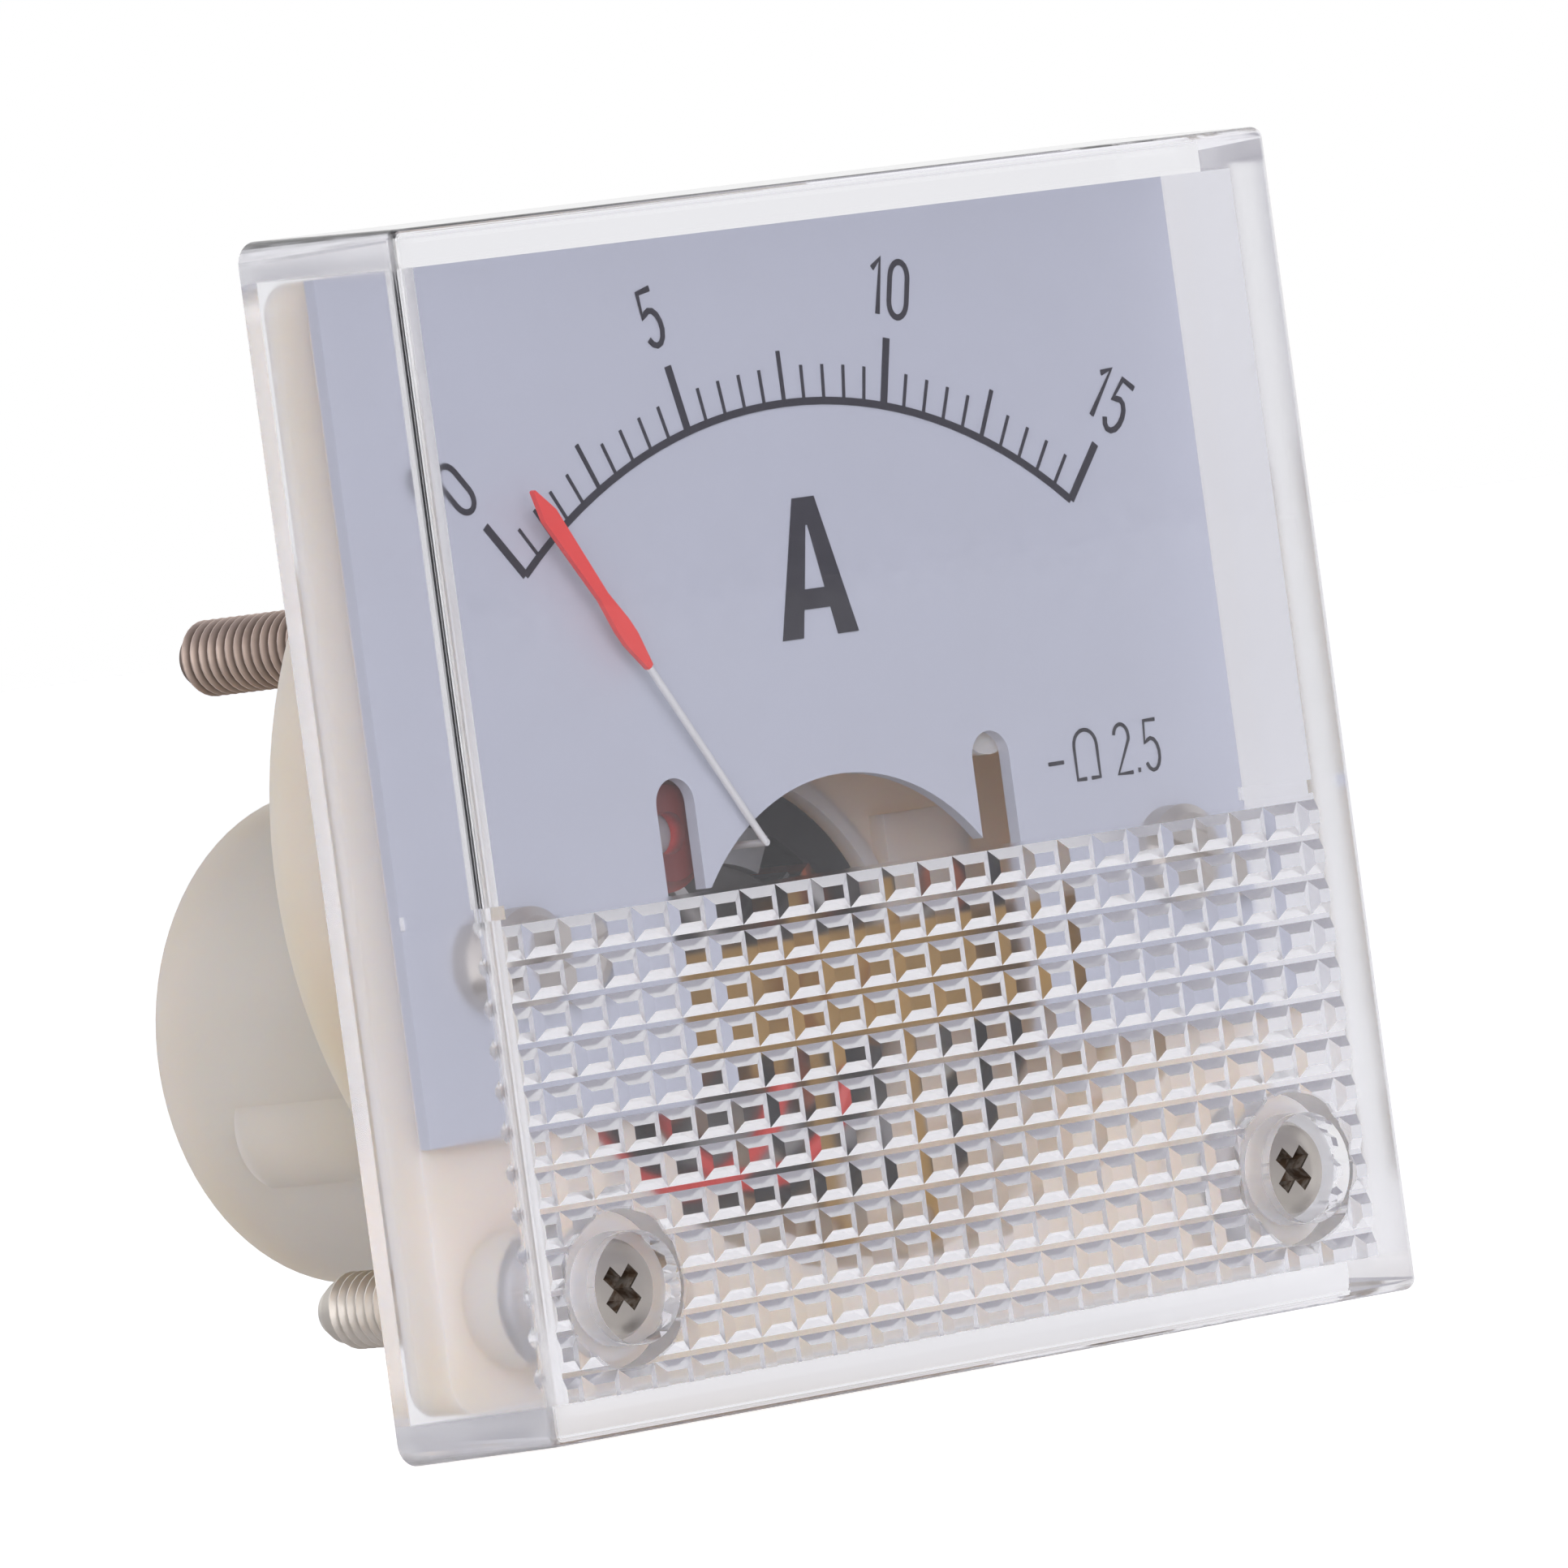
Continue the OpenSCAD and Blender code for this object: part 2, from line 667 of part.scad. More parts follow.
module yoke_ring() {
    color([0.25, 0.25, 0.27]) difference() {
        rod(0, axis_z, yoke_r, yoke_front, yoke_back);
        rod(0, axis_z, yoke_bore_r, yoke_front - cut, yoke_back + cut);
    }
}

module core_magnet() {
    color([0.4, 0.4, 0.42]) rod(0, axis_z, core_r, core_front, core_back);
}

// Casting with a disc behind the coil and two arms through the air gap
module rear_bridge() {
    arm_half_deg = 29;
    far = 2 * yoke_bore_r;
    color([0.6, 0.6, 0.6]) difference() {
        union() {
            rod(0, axis_z, yoke_bore_r - cement_gap, rear_bridge_front, rear_bridge_back);
            intersection() {
                difference() {
                    rod(0, axis_z, yoke_bore_r - cement_gap, floor_front, rear_bridge_front + overlap);
                    rod(0, axis_z, core_r + cement_gap, floor_front - cut, rear_bridge_front);
                }
                slab(floor_front, rear_bridge_back) translate([0, axis_z]) for (s = [-1, 1])
                    polygon([[0, 0], s * [far * sin(arm_half_deg), far * cos(arm_half_deg)],
                        s * [-far * sin(arm_half_deg), far * cos(arm_half_deg)]]);
            }
            rod(0, axis_z + stud_place_r, stud_r, staff_back + 0.3, rear_bridge_front + overlap);
        }
        rod(0, axis_z, jewel_screw_r, rear_bridge_front - cut, rear_bridge_back + cut);
    }
}

// Bent brass strip across the front, with feet on the pads of the base
module front_bridge() {
    outer = bridge_leg_x + bridge_t / 2;
    inner = bridge_leg_x - bridge_t / 2;
    foot = foot_seat - bridge_t;
    color([0.72, 0.58, 0.34]) difference() {
        union() {
            translate([0, 0, axis_z]) linear_extrude(height = bridge_h, center = true) {
                difference() {
                    translate([-outer, front_bridge_front]) square([2 * outer, foot_seat - front_bridge_front]);
                    translate([-inner, front_bridge_back]) square([2 * inner, foot_seat - front_bridge_back + cut]);
                }
                for (s = [-1, 1]) translate([s * (inner + foot_end_x) / 2, foot + bridge_t / 2])
                    square([foot_end_x - inner, bridge_t], center = true);
            }
            rod(-3.2, axis_z - bridge_h / 2 - 0.6, 0.9, front_bridge_front, front_bridge_back);
        }
        rod(0, axis_z, jewel_screw_r, front_bridge_front - cut, front_bridge_back + cut);
        for (s = [-1, 1])
            rod(s * bridge_screw_x, axis_z, bridge_screw_r, foot - cut, foot_seat + cut);
    }
}

module bridge_screw(s) {
    head_h = 0.9;
    seat = foot_seat - bridge_t;
    color([0.72, 0.71, 0.7]) difference() {
        pan_screw(s * bridge_screw_x, axis_z, bridge_screw_r, bridge_head_r, head_h, seat, foot_seat + 2,
            bridge_screw_r - 0.1, seat + 0.2);
        translate([s * bridge_screw_x, seat - head_h, axis_z]) rotate([0, 60, 0])
            cube([4, 0.8, 0.35], center = true);
    }
}

module bridge_screw_left() { bridge_screw(-1); }
module bridge_screw_right() { bridge_screw(1); }

jewel_r = 0.6;
jewel_t = 0.9;

// A jewel screw whose jewelled end lies at y_end; dir points from the head to the jewel
module jewel_screw(y_end, dir) {
    color([0.75, 0.62, 0.36]) difference() {
        turned(0, axis_z, [
            [0, y_end - dir * jewel_screw_l], [jewel_screw_r, y_end - dir * jewel_screw_l],
            [jewel_screw_r, y_end], [0, y_end]
        ]);
        turned(0, axis_z, [[0, y_end - dir * jewel_t], [jewel_r, y_end - dir * jewel_t],
            [jewel_r, y_end + dir * cut], [0, y_end + dir * cut]]);
        translate([0, y_end - dir * jewel_screw_l, axis_z]) cube([4, 0.8, 0.35], center = true);
    }
}

// A cup jewel that fills the end of its screw
module jewel(y_end, dir) {
    bottom = y_end - dir * (jewel_reach + pivot_play);
    color([0.7, 0.15, 0.3]) turned(0, axis_z, [
        [0, y_end - dir * jewel_t], [jewel_r, y_end - dir * jewel_t], [jewel_r, y_end],
        [0.5, y_end], [0, bottom]
    ]);
}

module lock_nut(y0, y1) {
    color([0.75, 0.62, 0.36]) difference() {
        translate([0, y1, axis_z]) rotate([90, 0, 0]) cylinder(r = 1.9, h = y1 - y0, $fn = 6);
        rod(0, axis_z, jewel_screw_r, y0 - cut, y1 + cut);
    }
}

module front_jewel_screw() { jewel_screw(front_jewel_end, 1); }
module rear_jewel_screw() { jewel_screw(rear_jewel_end, -1); }
module front_jewel() { jewel(front_jewel_end, 1); }
module rear_jewel() { jewel(rear_jewel_end, -1); }
module front_lock_nut() { lock_nut(front_bridge_front - lock_nut_t, front_bridge_front); }
module rear_lock_nut() { lock_nut(rear_bridge_back, rear_bridge_back + lock_nut_t); }

// Zero lever: a ring on the front jewel screw, a tail to push and a stud for the hairspring
module zero_lever() {
    y0 = front_bridge_back + lever_play;
    tail = lever_tail;
    color([0.75, 0.62, 0.36]) translate([0, 0, axis_z]) {
        slab(y0, y0 + lever_t) difference() {
            union() {
                circle(r = lever_ring_r);
                translate([-lever_w / 2, -tail]) square([lever_w, tail]);
                translate([0, -tail]) circle(r = lever_end_r);
                translate([-0.5, 0]) square([1, stud_place_r + 0.4]);
            }
            circle(r = jewel_screw_r + lever_play);
            translate([0, -tail]) circle(r = lever_eye_r);
        }
        rod(0, stud_place_r, stud_r, y0, staff_front - 0.35);
    }
}

// Movement, moving parts -----------------------------------------------------

// A rectangular frame round the core, by its inner half length and wall
module coil_frame(inner, wall, width) {
    y0 = core_front - coil_end_gap - (inner - coil_in);
    y1 = core_back + coil_end_gap + (inner - coil_in);
    translate([0, 0, -width / 2]) linear_extrude(height = width) difference() {
        translate([-inner - wall, y0 - wall]) square([2 * (inner + wall), y1 - y0 + 2 * wall]);
        translate([-inner, y0]) square([2 * inner, y1 - y0]);
    }
}

module coil_former() {
    color([0.8, 0.8, 0.82]) on_coil() coil_frame(coil_in, former_t, coil_w);
}

module moving_coil() {
    color([0.72, 0.4, 0.2]) on_coil() coil_frame(coil_in + former_t, winding_t, coil_w - 0.3);
}

// A staff: hub on the coil, spigot for the hairspring, bore for the pivot
module staff(y_coil, dir) {
    hub_end = y_coil - dir * hub_t;
    spigot_end = hub_end - dir * spigot_l;
    color([0.75, 0.62, 0.36]) on_coil() difference() {
        turned(0, 0, [
            [0, y_coil], [1.1, y_coil], [1.1, hub_end], [spigot_r, hub_end],
            [spigot_r, spigot_end], [0, spigot_end]
        ]);
        turned(0, 0, [[0, hub_end], [pivot_r, hub_end],
            [pivot_r, spigot_end - dir * cut], [0, spigot_end - dir * cut]]);
    }
}

// A steel pivot: its point runs in the jewel
module pivot(y_coil, dir) {
    hub_end = y_coil - dir * hub_t;
    point = hub_end - dir * (spigot_l + point_l);
    color([0.5, 0.5, 0.53]) on_coil() turned(0, 0, [
        [0, hub_end], [pivot_r, hub_end], [pivot_r, point + dir * 0.45], [0, point]
    ]);
}

module front_staff() { staff(coil_front, 1); }
module rear_staff() { staff(coil_back, -1); }
module front_pivot() { pivot(coil_front, 1); }
module rear_pivot() { pivot(coil_back, -1); }

// A flat spiral spring between y0 and y0 + spring_h, with its collet on the spigot
module hairspring(y0) {
    steps = 28 * spring_turns;
    first = spigot_r + 0.12;
    last = spring_r - spring_t;
    function turn(i) = 360 * spring_turns * (i / steps - 1) - pointer_deg;
    function reach(i) = first + (last - first) * i / steps;
    inner = [for (i = [0 : steps]) reach(i) * [sin(turn(i)), cos(turn(i))]];
    outer = [for (i = [steps : -1 : 0]) (reach(i) + spring_t) * [sin(turn(i)), cos(turn(i))]];
    color([0.76, 0.55, 0.3]) on_coil() slab(y0, y0 + spring_h) {
        polygon(concat(inner, outer));
        difference() {
            circle(r = first + 0.08);
            circle(r = spigot_r);
        }
    }
}

module front_hairspring() { hairspring(staff_front - 0.3 - spring_h); }
module rear_hairspring() { hairspring(staff_back + 0.3); }

cross_r = 5;

// Balance cross: a thin plate on the hub with three arms
module balance_cross() {
    color([0.75, 0.62, 0.36]) on_coil() slab(arm_y - arm_t / 2, arm_y + arm_t / 2) difference() {
        union() {
            circle(r = 1.7);
            for (a = [90, 180, 270]) rotate([0, 0, a]) translate([-0.2, 0]) square([0.4, cross_r]);
        }
        circle(r = 1.1);
    }
}

// A sleeve of solder on one arm of the balance cross
module balance_weight(a, place, r, length) {
    color([0.68, 0.68, 0.7]) on_coil() rotate([0, a, 0]) difference() {
        translate([0, arm_y, place - length / 2]) cylinder(r = r, h = length);
        translate([0, arm_y, place]) cube([0.4, arm_t, 2 * length], center = true);
    }
}

module balance_weight_tail() { balance_weight(180, 3.95, 0.7, 1.8); }
module balance_weight_left() { balance_weight(-90, 3.4, 0.4, 1); }
module balance_weight_right() { balance_weight(90, 3.4, 0.4, 1); }

// Pointer: an arm from the hub, a crank forward, a needle tube and a lance
module pointer() {
    needle_r = needle_d / 2;
    root_y = dial_front - pointer_gap;
    needle_l = pointer_r - crank_r;
    lean = atan(pointer_lean / needle_l);
    along = needle_l / cos(lean);
    waist = 0.46;
    lance_t = 0.24;
    color([0.9, 0.35, 0.33]) on_coil() {
        difference() {
            translate([-0.25, arm_y - arm_t / 2, 0]) cube([0.5, arm_t, crank_r + needle_r]);
            rod(0, 0, 1.7, arm_y - cut, arm_y + cut);
        }
        rod(0, crank_r, needle_r, root_y - needle_r * 0.5, arm_y);
        translate([0, root_y, crank_r]) rotate([lean, 0, 0]) {
            cylinder(r = needle_r, h = along - lance_l + overlap);
            translate([0, lance_t / 2, along - lance_l]) rotate([90, 0, 0]) linear_extrude(height = lance_t)
                polygon([
                    [-needle_r, 0], [-lance_w / 2, lance_l * 0.16], [-lance_w / 2, lance_l * 0.24],
                    [-waist / 2, lance_l * 0.4], [-lance_w / 2, lance_l * 0.86], [-0.05, lance_l],
                    [0.05, lance_l], [lance_w / 2, lance_l * 0.86], [waist / 2, lance_l * 0.4],
                    [lance_w / 2, lance_l * 0.24], [lance_w / 2, lance_l * 0.16], [needle_r, 0]
                ]);
        }
    }
}

// Leads ----------------------------------------------------------------------

lead_r = 0.45;
lead_sides = 8;
lead_inset = 2.2;

// Hand-picked route points in X, Y, Z, from each lead's start to its end, set by what they pass
side_x = min(dial_screw_x - lug_r, body_bore_r - lead_inset) - lead_r;
tag_end = [terminal_x - 0.5, terminal_head_back - 0.6, terminal_z - tag_tail - 0.4];
red_route = [[-resistor_x, 0.4, resistor_z - resistor_d / 2 - 0.05],
    [-resistor_x - 0.3, 0.2, resistor_z - resistor_d / 2 - 0.8], [-bridge_leg_x - 0.4, -0.1, axis_z + 3.3],
    [0.6 - side_x, -0.6, axis_z + 1.2], [1.2 - side_x, -1, axis_z - 2.6], [-10.6, -1.2, axis_z - 6],
    [-7, -1.4, axis_z - 6.4], [-4.4, -1.4, axis_z - 5], [-3.2, front_bridge_front - 0.5, axis_z - 3.1]];
black_route = [[-tag_end[0], tag_end[1], tag_end[2]], [1 - side_x, 2, 0], [0.6 - side_x, 1.2, axis_z + 1.8],
    [2.2 - side_x, 0.8, axis_z - 3.2], [-8.6, 0.8, axis_z - 6.7], [-4.4, 1.8, axis_z - 7.6],
    [-2, 3, axis_z - 6.8], [-1, floor_front - 0.5, axis_z - 5.85]];
link_route = [tag_end, [9.6, 2.2, 4.4], [5, 1.6, 5.2], [0, 1.2, 5],
    [-4, 0.9, 3.8], [1.25 - resistor_x, 0.6, resistor_z + 2.1]];

// Points between the route's points, on a smooth curve through them
function spline(p, i, t) = let (
    a = p[max(i - 1, 0)], b = p[i], c = p[i + 1], d = p[min(i + 2, len(p) - 1)])
    0.5 * (2 * b + (c - a) * t + (2 * a - 5 * b + 4 * c - d) * t * t + (3 * b - a - 3 * c + d) * t * t * t);
function smooth(p, n) = concat([for (i = [0 : len(p) - 2], k = [0 : n - 1]) spline(p, i, k / n)], [p[len(p) - 1]]);
function unit(v) = v / norm(v);

// A round tube swept along a route
module lead(route) {
    line = smooth(route, 4);
    last = len(line) - 1;
    rings = [for (i = [0 : last]) let (
        t = unit(line[min(i + 1, last)] - line[max(i - 1, 0)]),
        u = unit(cross(t, [0.3, 1, 0.2])),
        v = cross(t, u))
        for (k = [0 : lead_sides - 1]) let (a = 360 * k / lead_sides)
            line[i] + lead_r * (cos(a) * u + sin(a) * v)];
    sides = [for (i = [0 : last - 1], k = [0 : lead_sides - 1]) let (n = (k + 1) % lead_sides)
        [i * lead_sides + k, i * lead_sides + n, (i + 1) * lead_sides + n, (i + 1) * lead_sides + k]];
    start = [for (k = [lead_sides - 1 : -1 : 0]) k];
    end = [for (k = [0 : lead_sides - 1]) last * lead_sides + k];
    polyhedron(points = rings, faces = concat(sides, [start, end]));
}

module red_lead() { color([0.8, 0.15, 0.15]) lead(red_route); }
module black_lead() { color([0.15, 0.15, 0.16]) lead(black_route); }
module link_lead() { color([0.8, 0.15, 0.15]) lead(link_route); }

front_cover();
base_case();
dial_plate();
dial_screw_left();
dial_screw_right();
cover_screw_left();
cover_screw_right();
terminal_stud_left();
terminal_stud_right();
solder_tag_left();
solder_tag_right();
shunt_strip();
series_resistor();
yoke_ring();
core_magnet();
rear_bridge();
front_bridge();
bridge_screw_left();
bridge_screw_right();
front_jewel_screw();
front_lock_nut();
front_jewel();
rear_jewel_screw();
rear_lock_nut();
rear_jewel();
zero_lever();
coil_former();
moving_coil();
front_staff();
rear_staff();
front_pivot();
rear_pivot();
front_hairspring();
rear_hairspring();
balance_cross();
balance_weight_tail();
balance_weight_left();
balance_weight_right();
pointer();
red_lead();
black_lead();
link_lead();
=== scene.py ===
"""Square panel ammeter: finishes, threads, dial figures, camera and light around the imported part."""

import json
import math
import bpy
from bpy.props import FloatProperty, FloatVectorProperty, PointerProperty
from mathutils import Matrix, Vector


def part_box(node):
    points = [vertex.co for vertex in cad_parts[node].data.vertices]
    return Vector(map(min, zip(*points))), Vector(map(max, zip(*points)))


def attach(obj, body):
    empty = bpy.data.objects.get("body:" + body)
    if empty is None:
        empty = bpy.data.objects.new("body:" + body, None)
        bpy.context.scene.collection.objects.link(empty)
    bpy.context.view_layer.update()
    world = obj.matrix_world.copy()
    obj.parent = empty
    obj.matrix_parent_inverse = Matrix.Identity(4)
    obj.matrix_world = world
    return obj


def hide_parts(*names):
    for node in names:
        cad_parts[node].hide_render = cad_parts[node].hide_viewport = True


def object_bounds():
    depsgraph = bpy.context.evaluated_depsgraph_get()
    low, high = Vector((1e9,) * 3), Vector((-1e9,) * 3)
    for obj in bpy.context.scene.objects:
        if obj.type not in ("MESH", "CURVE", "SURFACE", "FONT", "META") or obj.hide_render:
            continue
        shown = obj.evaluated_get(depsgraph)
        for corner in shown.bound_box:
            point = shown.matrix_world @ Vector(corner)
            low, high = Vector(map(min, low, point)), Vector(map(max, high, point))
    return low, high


bl_info = {
    "name": "Panel ammeter dresser",
    "version": (1, 0, 0),
    "blender": (4, 5, 0),
    "location": "3D View > Sidebar > Meter",
    "description": "Finishes, threads, dial figures and a plain studio for a square panel ammeter",
    "category": "Object",
}

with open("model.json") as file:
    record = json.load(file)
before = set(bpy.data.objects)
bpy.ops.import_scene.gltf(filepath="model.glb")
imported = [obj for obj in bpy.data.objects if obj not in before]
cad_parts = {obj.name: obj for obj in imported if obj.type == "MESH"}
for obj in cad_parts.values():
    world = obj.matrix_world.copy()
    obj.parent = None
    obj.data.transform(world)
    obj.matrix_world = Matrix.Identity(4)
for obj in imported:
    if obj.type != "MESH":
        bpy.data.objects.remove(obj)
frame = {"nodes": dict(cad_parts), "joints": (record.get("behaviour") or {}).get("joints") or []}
cad_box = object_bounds()
NODES = frame["nodes"]
MM = 0.001

# The movement's axis, where the pointer turns
PIVOT = Vector(next(j["pos_m"] for j in frame["joints"] if j["name"] == "pointer_swing"))
INK = 0.05 * MM  # how far the printed scale stands out of the dial
PRINT_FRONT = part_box("dial_plate")[0].y
DIAL_FRONT = PRINT_FRONT + INK
LANCE_START = 15.75 * MM  # where the red paint begins, from the movement's axis

# What is printed: numbers at their angles from upright, the unit letter's place, and signs on one line
SCALE_NUMBERS = (("0", -39.6), ("5", -13.4), ("10", 13.3), ("15", 39.3))
UNIT_PLACE = (0.28 * MM, 8.85 * MM)
SIGN_LINE = 0.4 * MM
SIGNS = (("current_sign", "-", 11.4 * MM), ("magnet_sign", ["magnet"], 12.95 * MM),
         ("class_sign", "2.5", 15.6 * MM))

THREAD_CREST = 1.45 * MM  # radius over the M3 threads
SCREW_HEAD, SCREW_WAIST = 1.8 * MM, 1.25 * MM  # height of the head, and radius of the bare waist
STUD_HEAD, STUD_SHANK = 2 * MM, 1.85 * MM  # height of the head, and radius of the moulded-in shank
STUD_FREE = 7.0 * MM  # where the studs leave the round body

# The band of pressed prisms: below BAND_TOP, on the window's back
BAND_TOP = -2.3 * MM
BAND_FRONT, BAND_BACK = -7.4 * MM, -6.6 * MM
SLEEVE_REACH = 3.0 * MM  # how far from a screw's axis its sleeve still lies
SIDE_DRAG = 1.6 * MM  # how far in from the cover's sides its faces are dulled

# Brightness of the surroundings: as light, and as seen in gloss or through the cover
ROOM_LIGHT, ROOM_SEEN = 0.55, 0.95
FLOOR_LIFT, FLOOR_THROUGH, FLOOR_MIRRORED = 0.7, 0.42, 0.08

# Camera: a long lens to the reader's left, level with the meter and tipped a little
CAMERA_LENS, SENSOR_WIDTH = 394.55, 36
CAMERA_PLACE = Vector((-432.594, -471.933, 13.1875)) * MM
CAMERA_AZIMUTH, CAMERA_ELEVATION, CAMERA_ROLL = 42.562, 1.096, -7.652

# Lamps: name, place, side and power
LAMPS = (("key_softbox", (-0.5, -0.68, 0.22), 0.6, 5.7), ("fill_softbox", (0.75, -0.1, 0.6), 0.6, 1.0),
         ("rear_softbox", (-0.5, 0.6, 0.5), 0.6, 0.9), ("side_softbox", (-0.7, 0.25, 0.06), 0.35, 0.7))
AHEAD = (0.62, 0.78, -0.05)  # where the white backdrop stands, seen from the meter
LIGHT_BOUNCES = 20  # enough for most light to leave the clear walls again


def srgb(code):
    """The linear colour of an sRGB hex value."""
    parts = [int(code[i:i + 2], 16) / 255 for i in (1, 3, 5)]
    return tuple(c / 12.92 if c <= 0.04045 else ((c + 0.055) / 1.055) ** 2.4 for c in parts) + (1.0,)


# Sizes and colours -----------------------------------------------------------


def length(name, description, mm):
    return FloatProperty(name=name, description=description, default=mm * MM, min=0,
                         unit="LENGTH", precision=5)


def tint(name, description, code):
    return FloatVectorProperty(name=name, description=description, default=srgb(code), size=4,
                               subtype="COLOR", min=0, max=1)


class MeterSizes(bpy.types.PropertyGroup):
    """Sizes of the modelled details"""
    thread_pitch: length("Thread pitch", "Pitch of the M3 threads", 0.5)
    thread_depth: length("Thread depth", "Depth of the threads", 0.25)
    thread_end: length("Thread end", "Length of the rounded end of a stud", 0.65)
    recess_width: length("Recess width", "Width across the cross recess of a screw", 3.1)
    recess_slot: length("Recess slot", "Width of one arm of the cross recess", 1.0)
    recess_depth: length("Recess depth", "Depth of the cross recess", 0.95)
    figure_height: length("Figure height", "Height of the scale's numbers", 2.1)
    figure_stroke: length("Figure stroke", "Width of the numbers' strokes", 0.24)
    figure_radius: length("Figure radius", "Distance of the numbers from the movement's axis", 26.2)
    letter_height: length("Letter height", "Height of the unit letter", 5.2)
    sign_height: length("Sign height", "Height of the class and magnet signs", 1.9)
    sign_stroke: length("Sign stroke", "Width of the signs' strokes", 0.15)
    seat_air: length("Seat air", "Air between the cover's sleeves and the base", 0.02)
    floor_drop: length("Floor drop", "Distance of the floor below the meter", 0.5)


class MeterColours(bpy.types.PropertyGroup):
    """Colours of the finishes"""
    cover: tint("Cover", "Tint of the clear cover", "#F7F7FA")
    ivory: tint("Ivory", "Base moulding", "#E3D5CA")
    ivory_aged: tint("Aged ivory", "Yellowed patches of the base moulding", "#D9C9B4")
    enamel: tint("Enamel", "Dial plate", "#BABDC8")
    ink: tint("Ink", "Scale, figures and signs", "#1E1C26")
    lance: tint("Lance", "Painted end of the pointer", "#E8423C")
    needle: tint("Needle", "Bare needle", "#DEDEDD")
    zinc: tint("Zinc", "Plated screws", "#D2CCC4")
    # Painted shade: the dark brown laid in the cover screws' cross recesses and in the grooves between
    # the coil's copper turns
    hollow_shade: tint("Rust", "Stains on the screws", "#54402F")
    stud: tint("Stud", "Dark stud steel", "#CDBBB1")
    # Darker colour for brown-grey tarnish patches, and also painted shade laid in the thread roots
    tarnish_and_root_shade: tint("Stud root", "Bottom of the threads", "#7A6B62")
    brass: tint("Brass", "Bridges, staffs and lever", "#C29A58")
    copper: tint("Copper", "Enamelled winding wire", "#A8552E")
    manganin: tint("Manganin", "Shunt strip", "#A87B5A")
    iron: tint("Iron", "Yoke ring", "#3B3B3F")
    magnet: tint("Magnet", "Magnet core", "#6E6C6A")
    aluminium: tint("Aluminium", "Rear bridge and coil former", "#B9BABC")
    ruby: tint("Ruby", "Jewels", "#A3264A")
    bronze: tint("Bronze", "Hairsprings", "#B9834A")
    tin: tint("Tin", "Solder and tinned tags", "#B8B6AE")
    lacquer: tint("Lacquer", "Lacquered resistor winding", "#B03431")
    lacquer_dark: tint("Dark lacquer", "Shaded turns of the resistor", "#6B2B26")
    red_pvc: tint("Red lead", "Insulation of the red leads", "#C4281F")
    black_pvc: tint("Black lead", "Insulation of the black lead", "#1B1B1D")
    floor: tint("Floor", "Studio floor", "#F4F4F4")
    room: tint("Room", "The room in front of and above the meter", "#A9A7B0")


# Modelling helpers -----------------------------------------------------------


def only(piece):
    bpy.ops.object.select_all(action="DESELECT")
    piece.select_set(True)
    bpy.context.view_layer.objects.active = piece


def added(name):
    """Names what an operator has just added, with its place in its mesh."""
    piece = bpy.context.object
    piece.name = piece.data.name = name
    bpy.ops.object.transform_apply(location=True, rotation=True, scale=True)
    return piece


def apply_modifier(piece, kind, **settings):
    only(piece)
    modifier = piece.modifiers.new(kind.title(), kind)
    for key, value in settings.items():
        setattr(modifier, key, value)
    bpy.ops.object.modifier_apply(modifier=modifier.name)


def outward(piece):
    """Merges a piece's doubles and turns its faces outwards."""
    only(piece)
    bpy.ops.object.mode_set(mode="EDIT")
    bpy.ops.mesh.select_all(action="SELECT")
    bpy.ops.mesh.remove_doubles(threshold=1e-7)
    bpy.ops.mesh.normals_make_consistent(inside=False)
    bpy.ops.object.mode_set(mode="OBJECT")


def turned(name, profile, segments=64):
    """A turned piece about the Y axis, from (radius, y) pairs in metres."""
    bpy.ops.object.select_all(action="DESELECT")
    radius, y = profile[0]
    bpy.ops.mesh.primitive_circle_add(vertices=segments, radius=radius, fill_type="NGON",
                                      location=(0, y, 0), rotation=(math.pi / 2, 0, 0))
    piece = added(name)
    bpy.ops.object.mode_set(mode="EDIT")
    bpy.ops.mesh.select_all(action="SELECT")
    for next_radius, next_y in profile[1:]:
        bpy.ops.mesh.extrude_region_move(TRANSFORM_OT_translate={"value": (0, next_y - y, 0)})
        share = next_radius / radius
        bpy.ops.transform.resize(value=(share, 1, share), center_override=(0, next_y, 0))
        radius, y = next_radius, next_y
    bpy.ops.object.mode_set(mode="OBJECT")
    outward(piece)
    return piece


def thread_ridge(name, root, crest, pitch, start, end):
    """A closed helical ridge about the Y axis, sunk a little into the core it winds round."""
    sunk = 0.1 * MM
    height = crest - root + sunk
    bpy.ops.object.select_all(action="DESELECT")
    bpy.ops.mesh.primitive_plane_add(size=1, location=((crest + root - sunk) / 2, start + pitch / 2, 0))
    ridge = bpy.context.object
    ridge.scale = (height, 0.98 * pitch, 1)
    ridge = added(name)
    bpy.ops.object.mode_set(mode="EDIT")
    bpy.ops.mesh.select_all(action="DESELECT")
    bpy.ops.object.mode_set(mode="OBJECT")
    for vertex in ridge.data.vertices:
        vertex.select = vertex.co.x > crest - height / 2
    bpy.ops.object.mode_set(mode="EDIT")
    bpy.ops.transform.resize(value=(1, 0.12, 1), center_override=(crest, start + pitch / 2, 0))
    bpy.ops.mesh.select_all(action="SELECT")
    bpy.ops.mesh.delete(type="ONLY_FACE")
    bpy.ops.object.mode_set(mode="OBJECT")
    turns = int((end - start) / pitch) - 1
    apply_modifier(ridge, "SCREW", axis="Y", angle=2 * math.pi, screw_offset=pitch, iterations=turns,
                   steps=28, render_steps=28, use_merge_vertices=False)
    bpy.ops.object.mode_set(mode="EDIT")
    bpy.ops.mesh.select_mode(type="VERT")
    bpy.ops.mesh.select_all(action="DESELECT")
    bpy.ops.mesh.select_non_manifold()
    bpy.ops.mesh.fill_holes(sides=4)
    bpy.ops.object.mode_set(mode="OBJECT")
    outward(ridge)
    return ridge


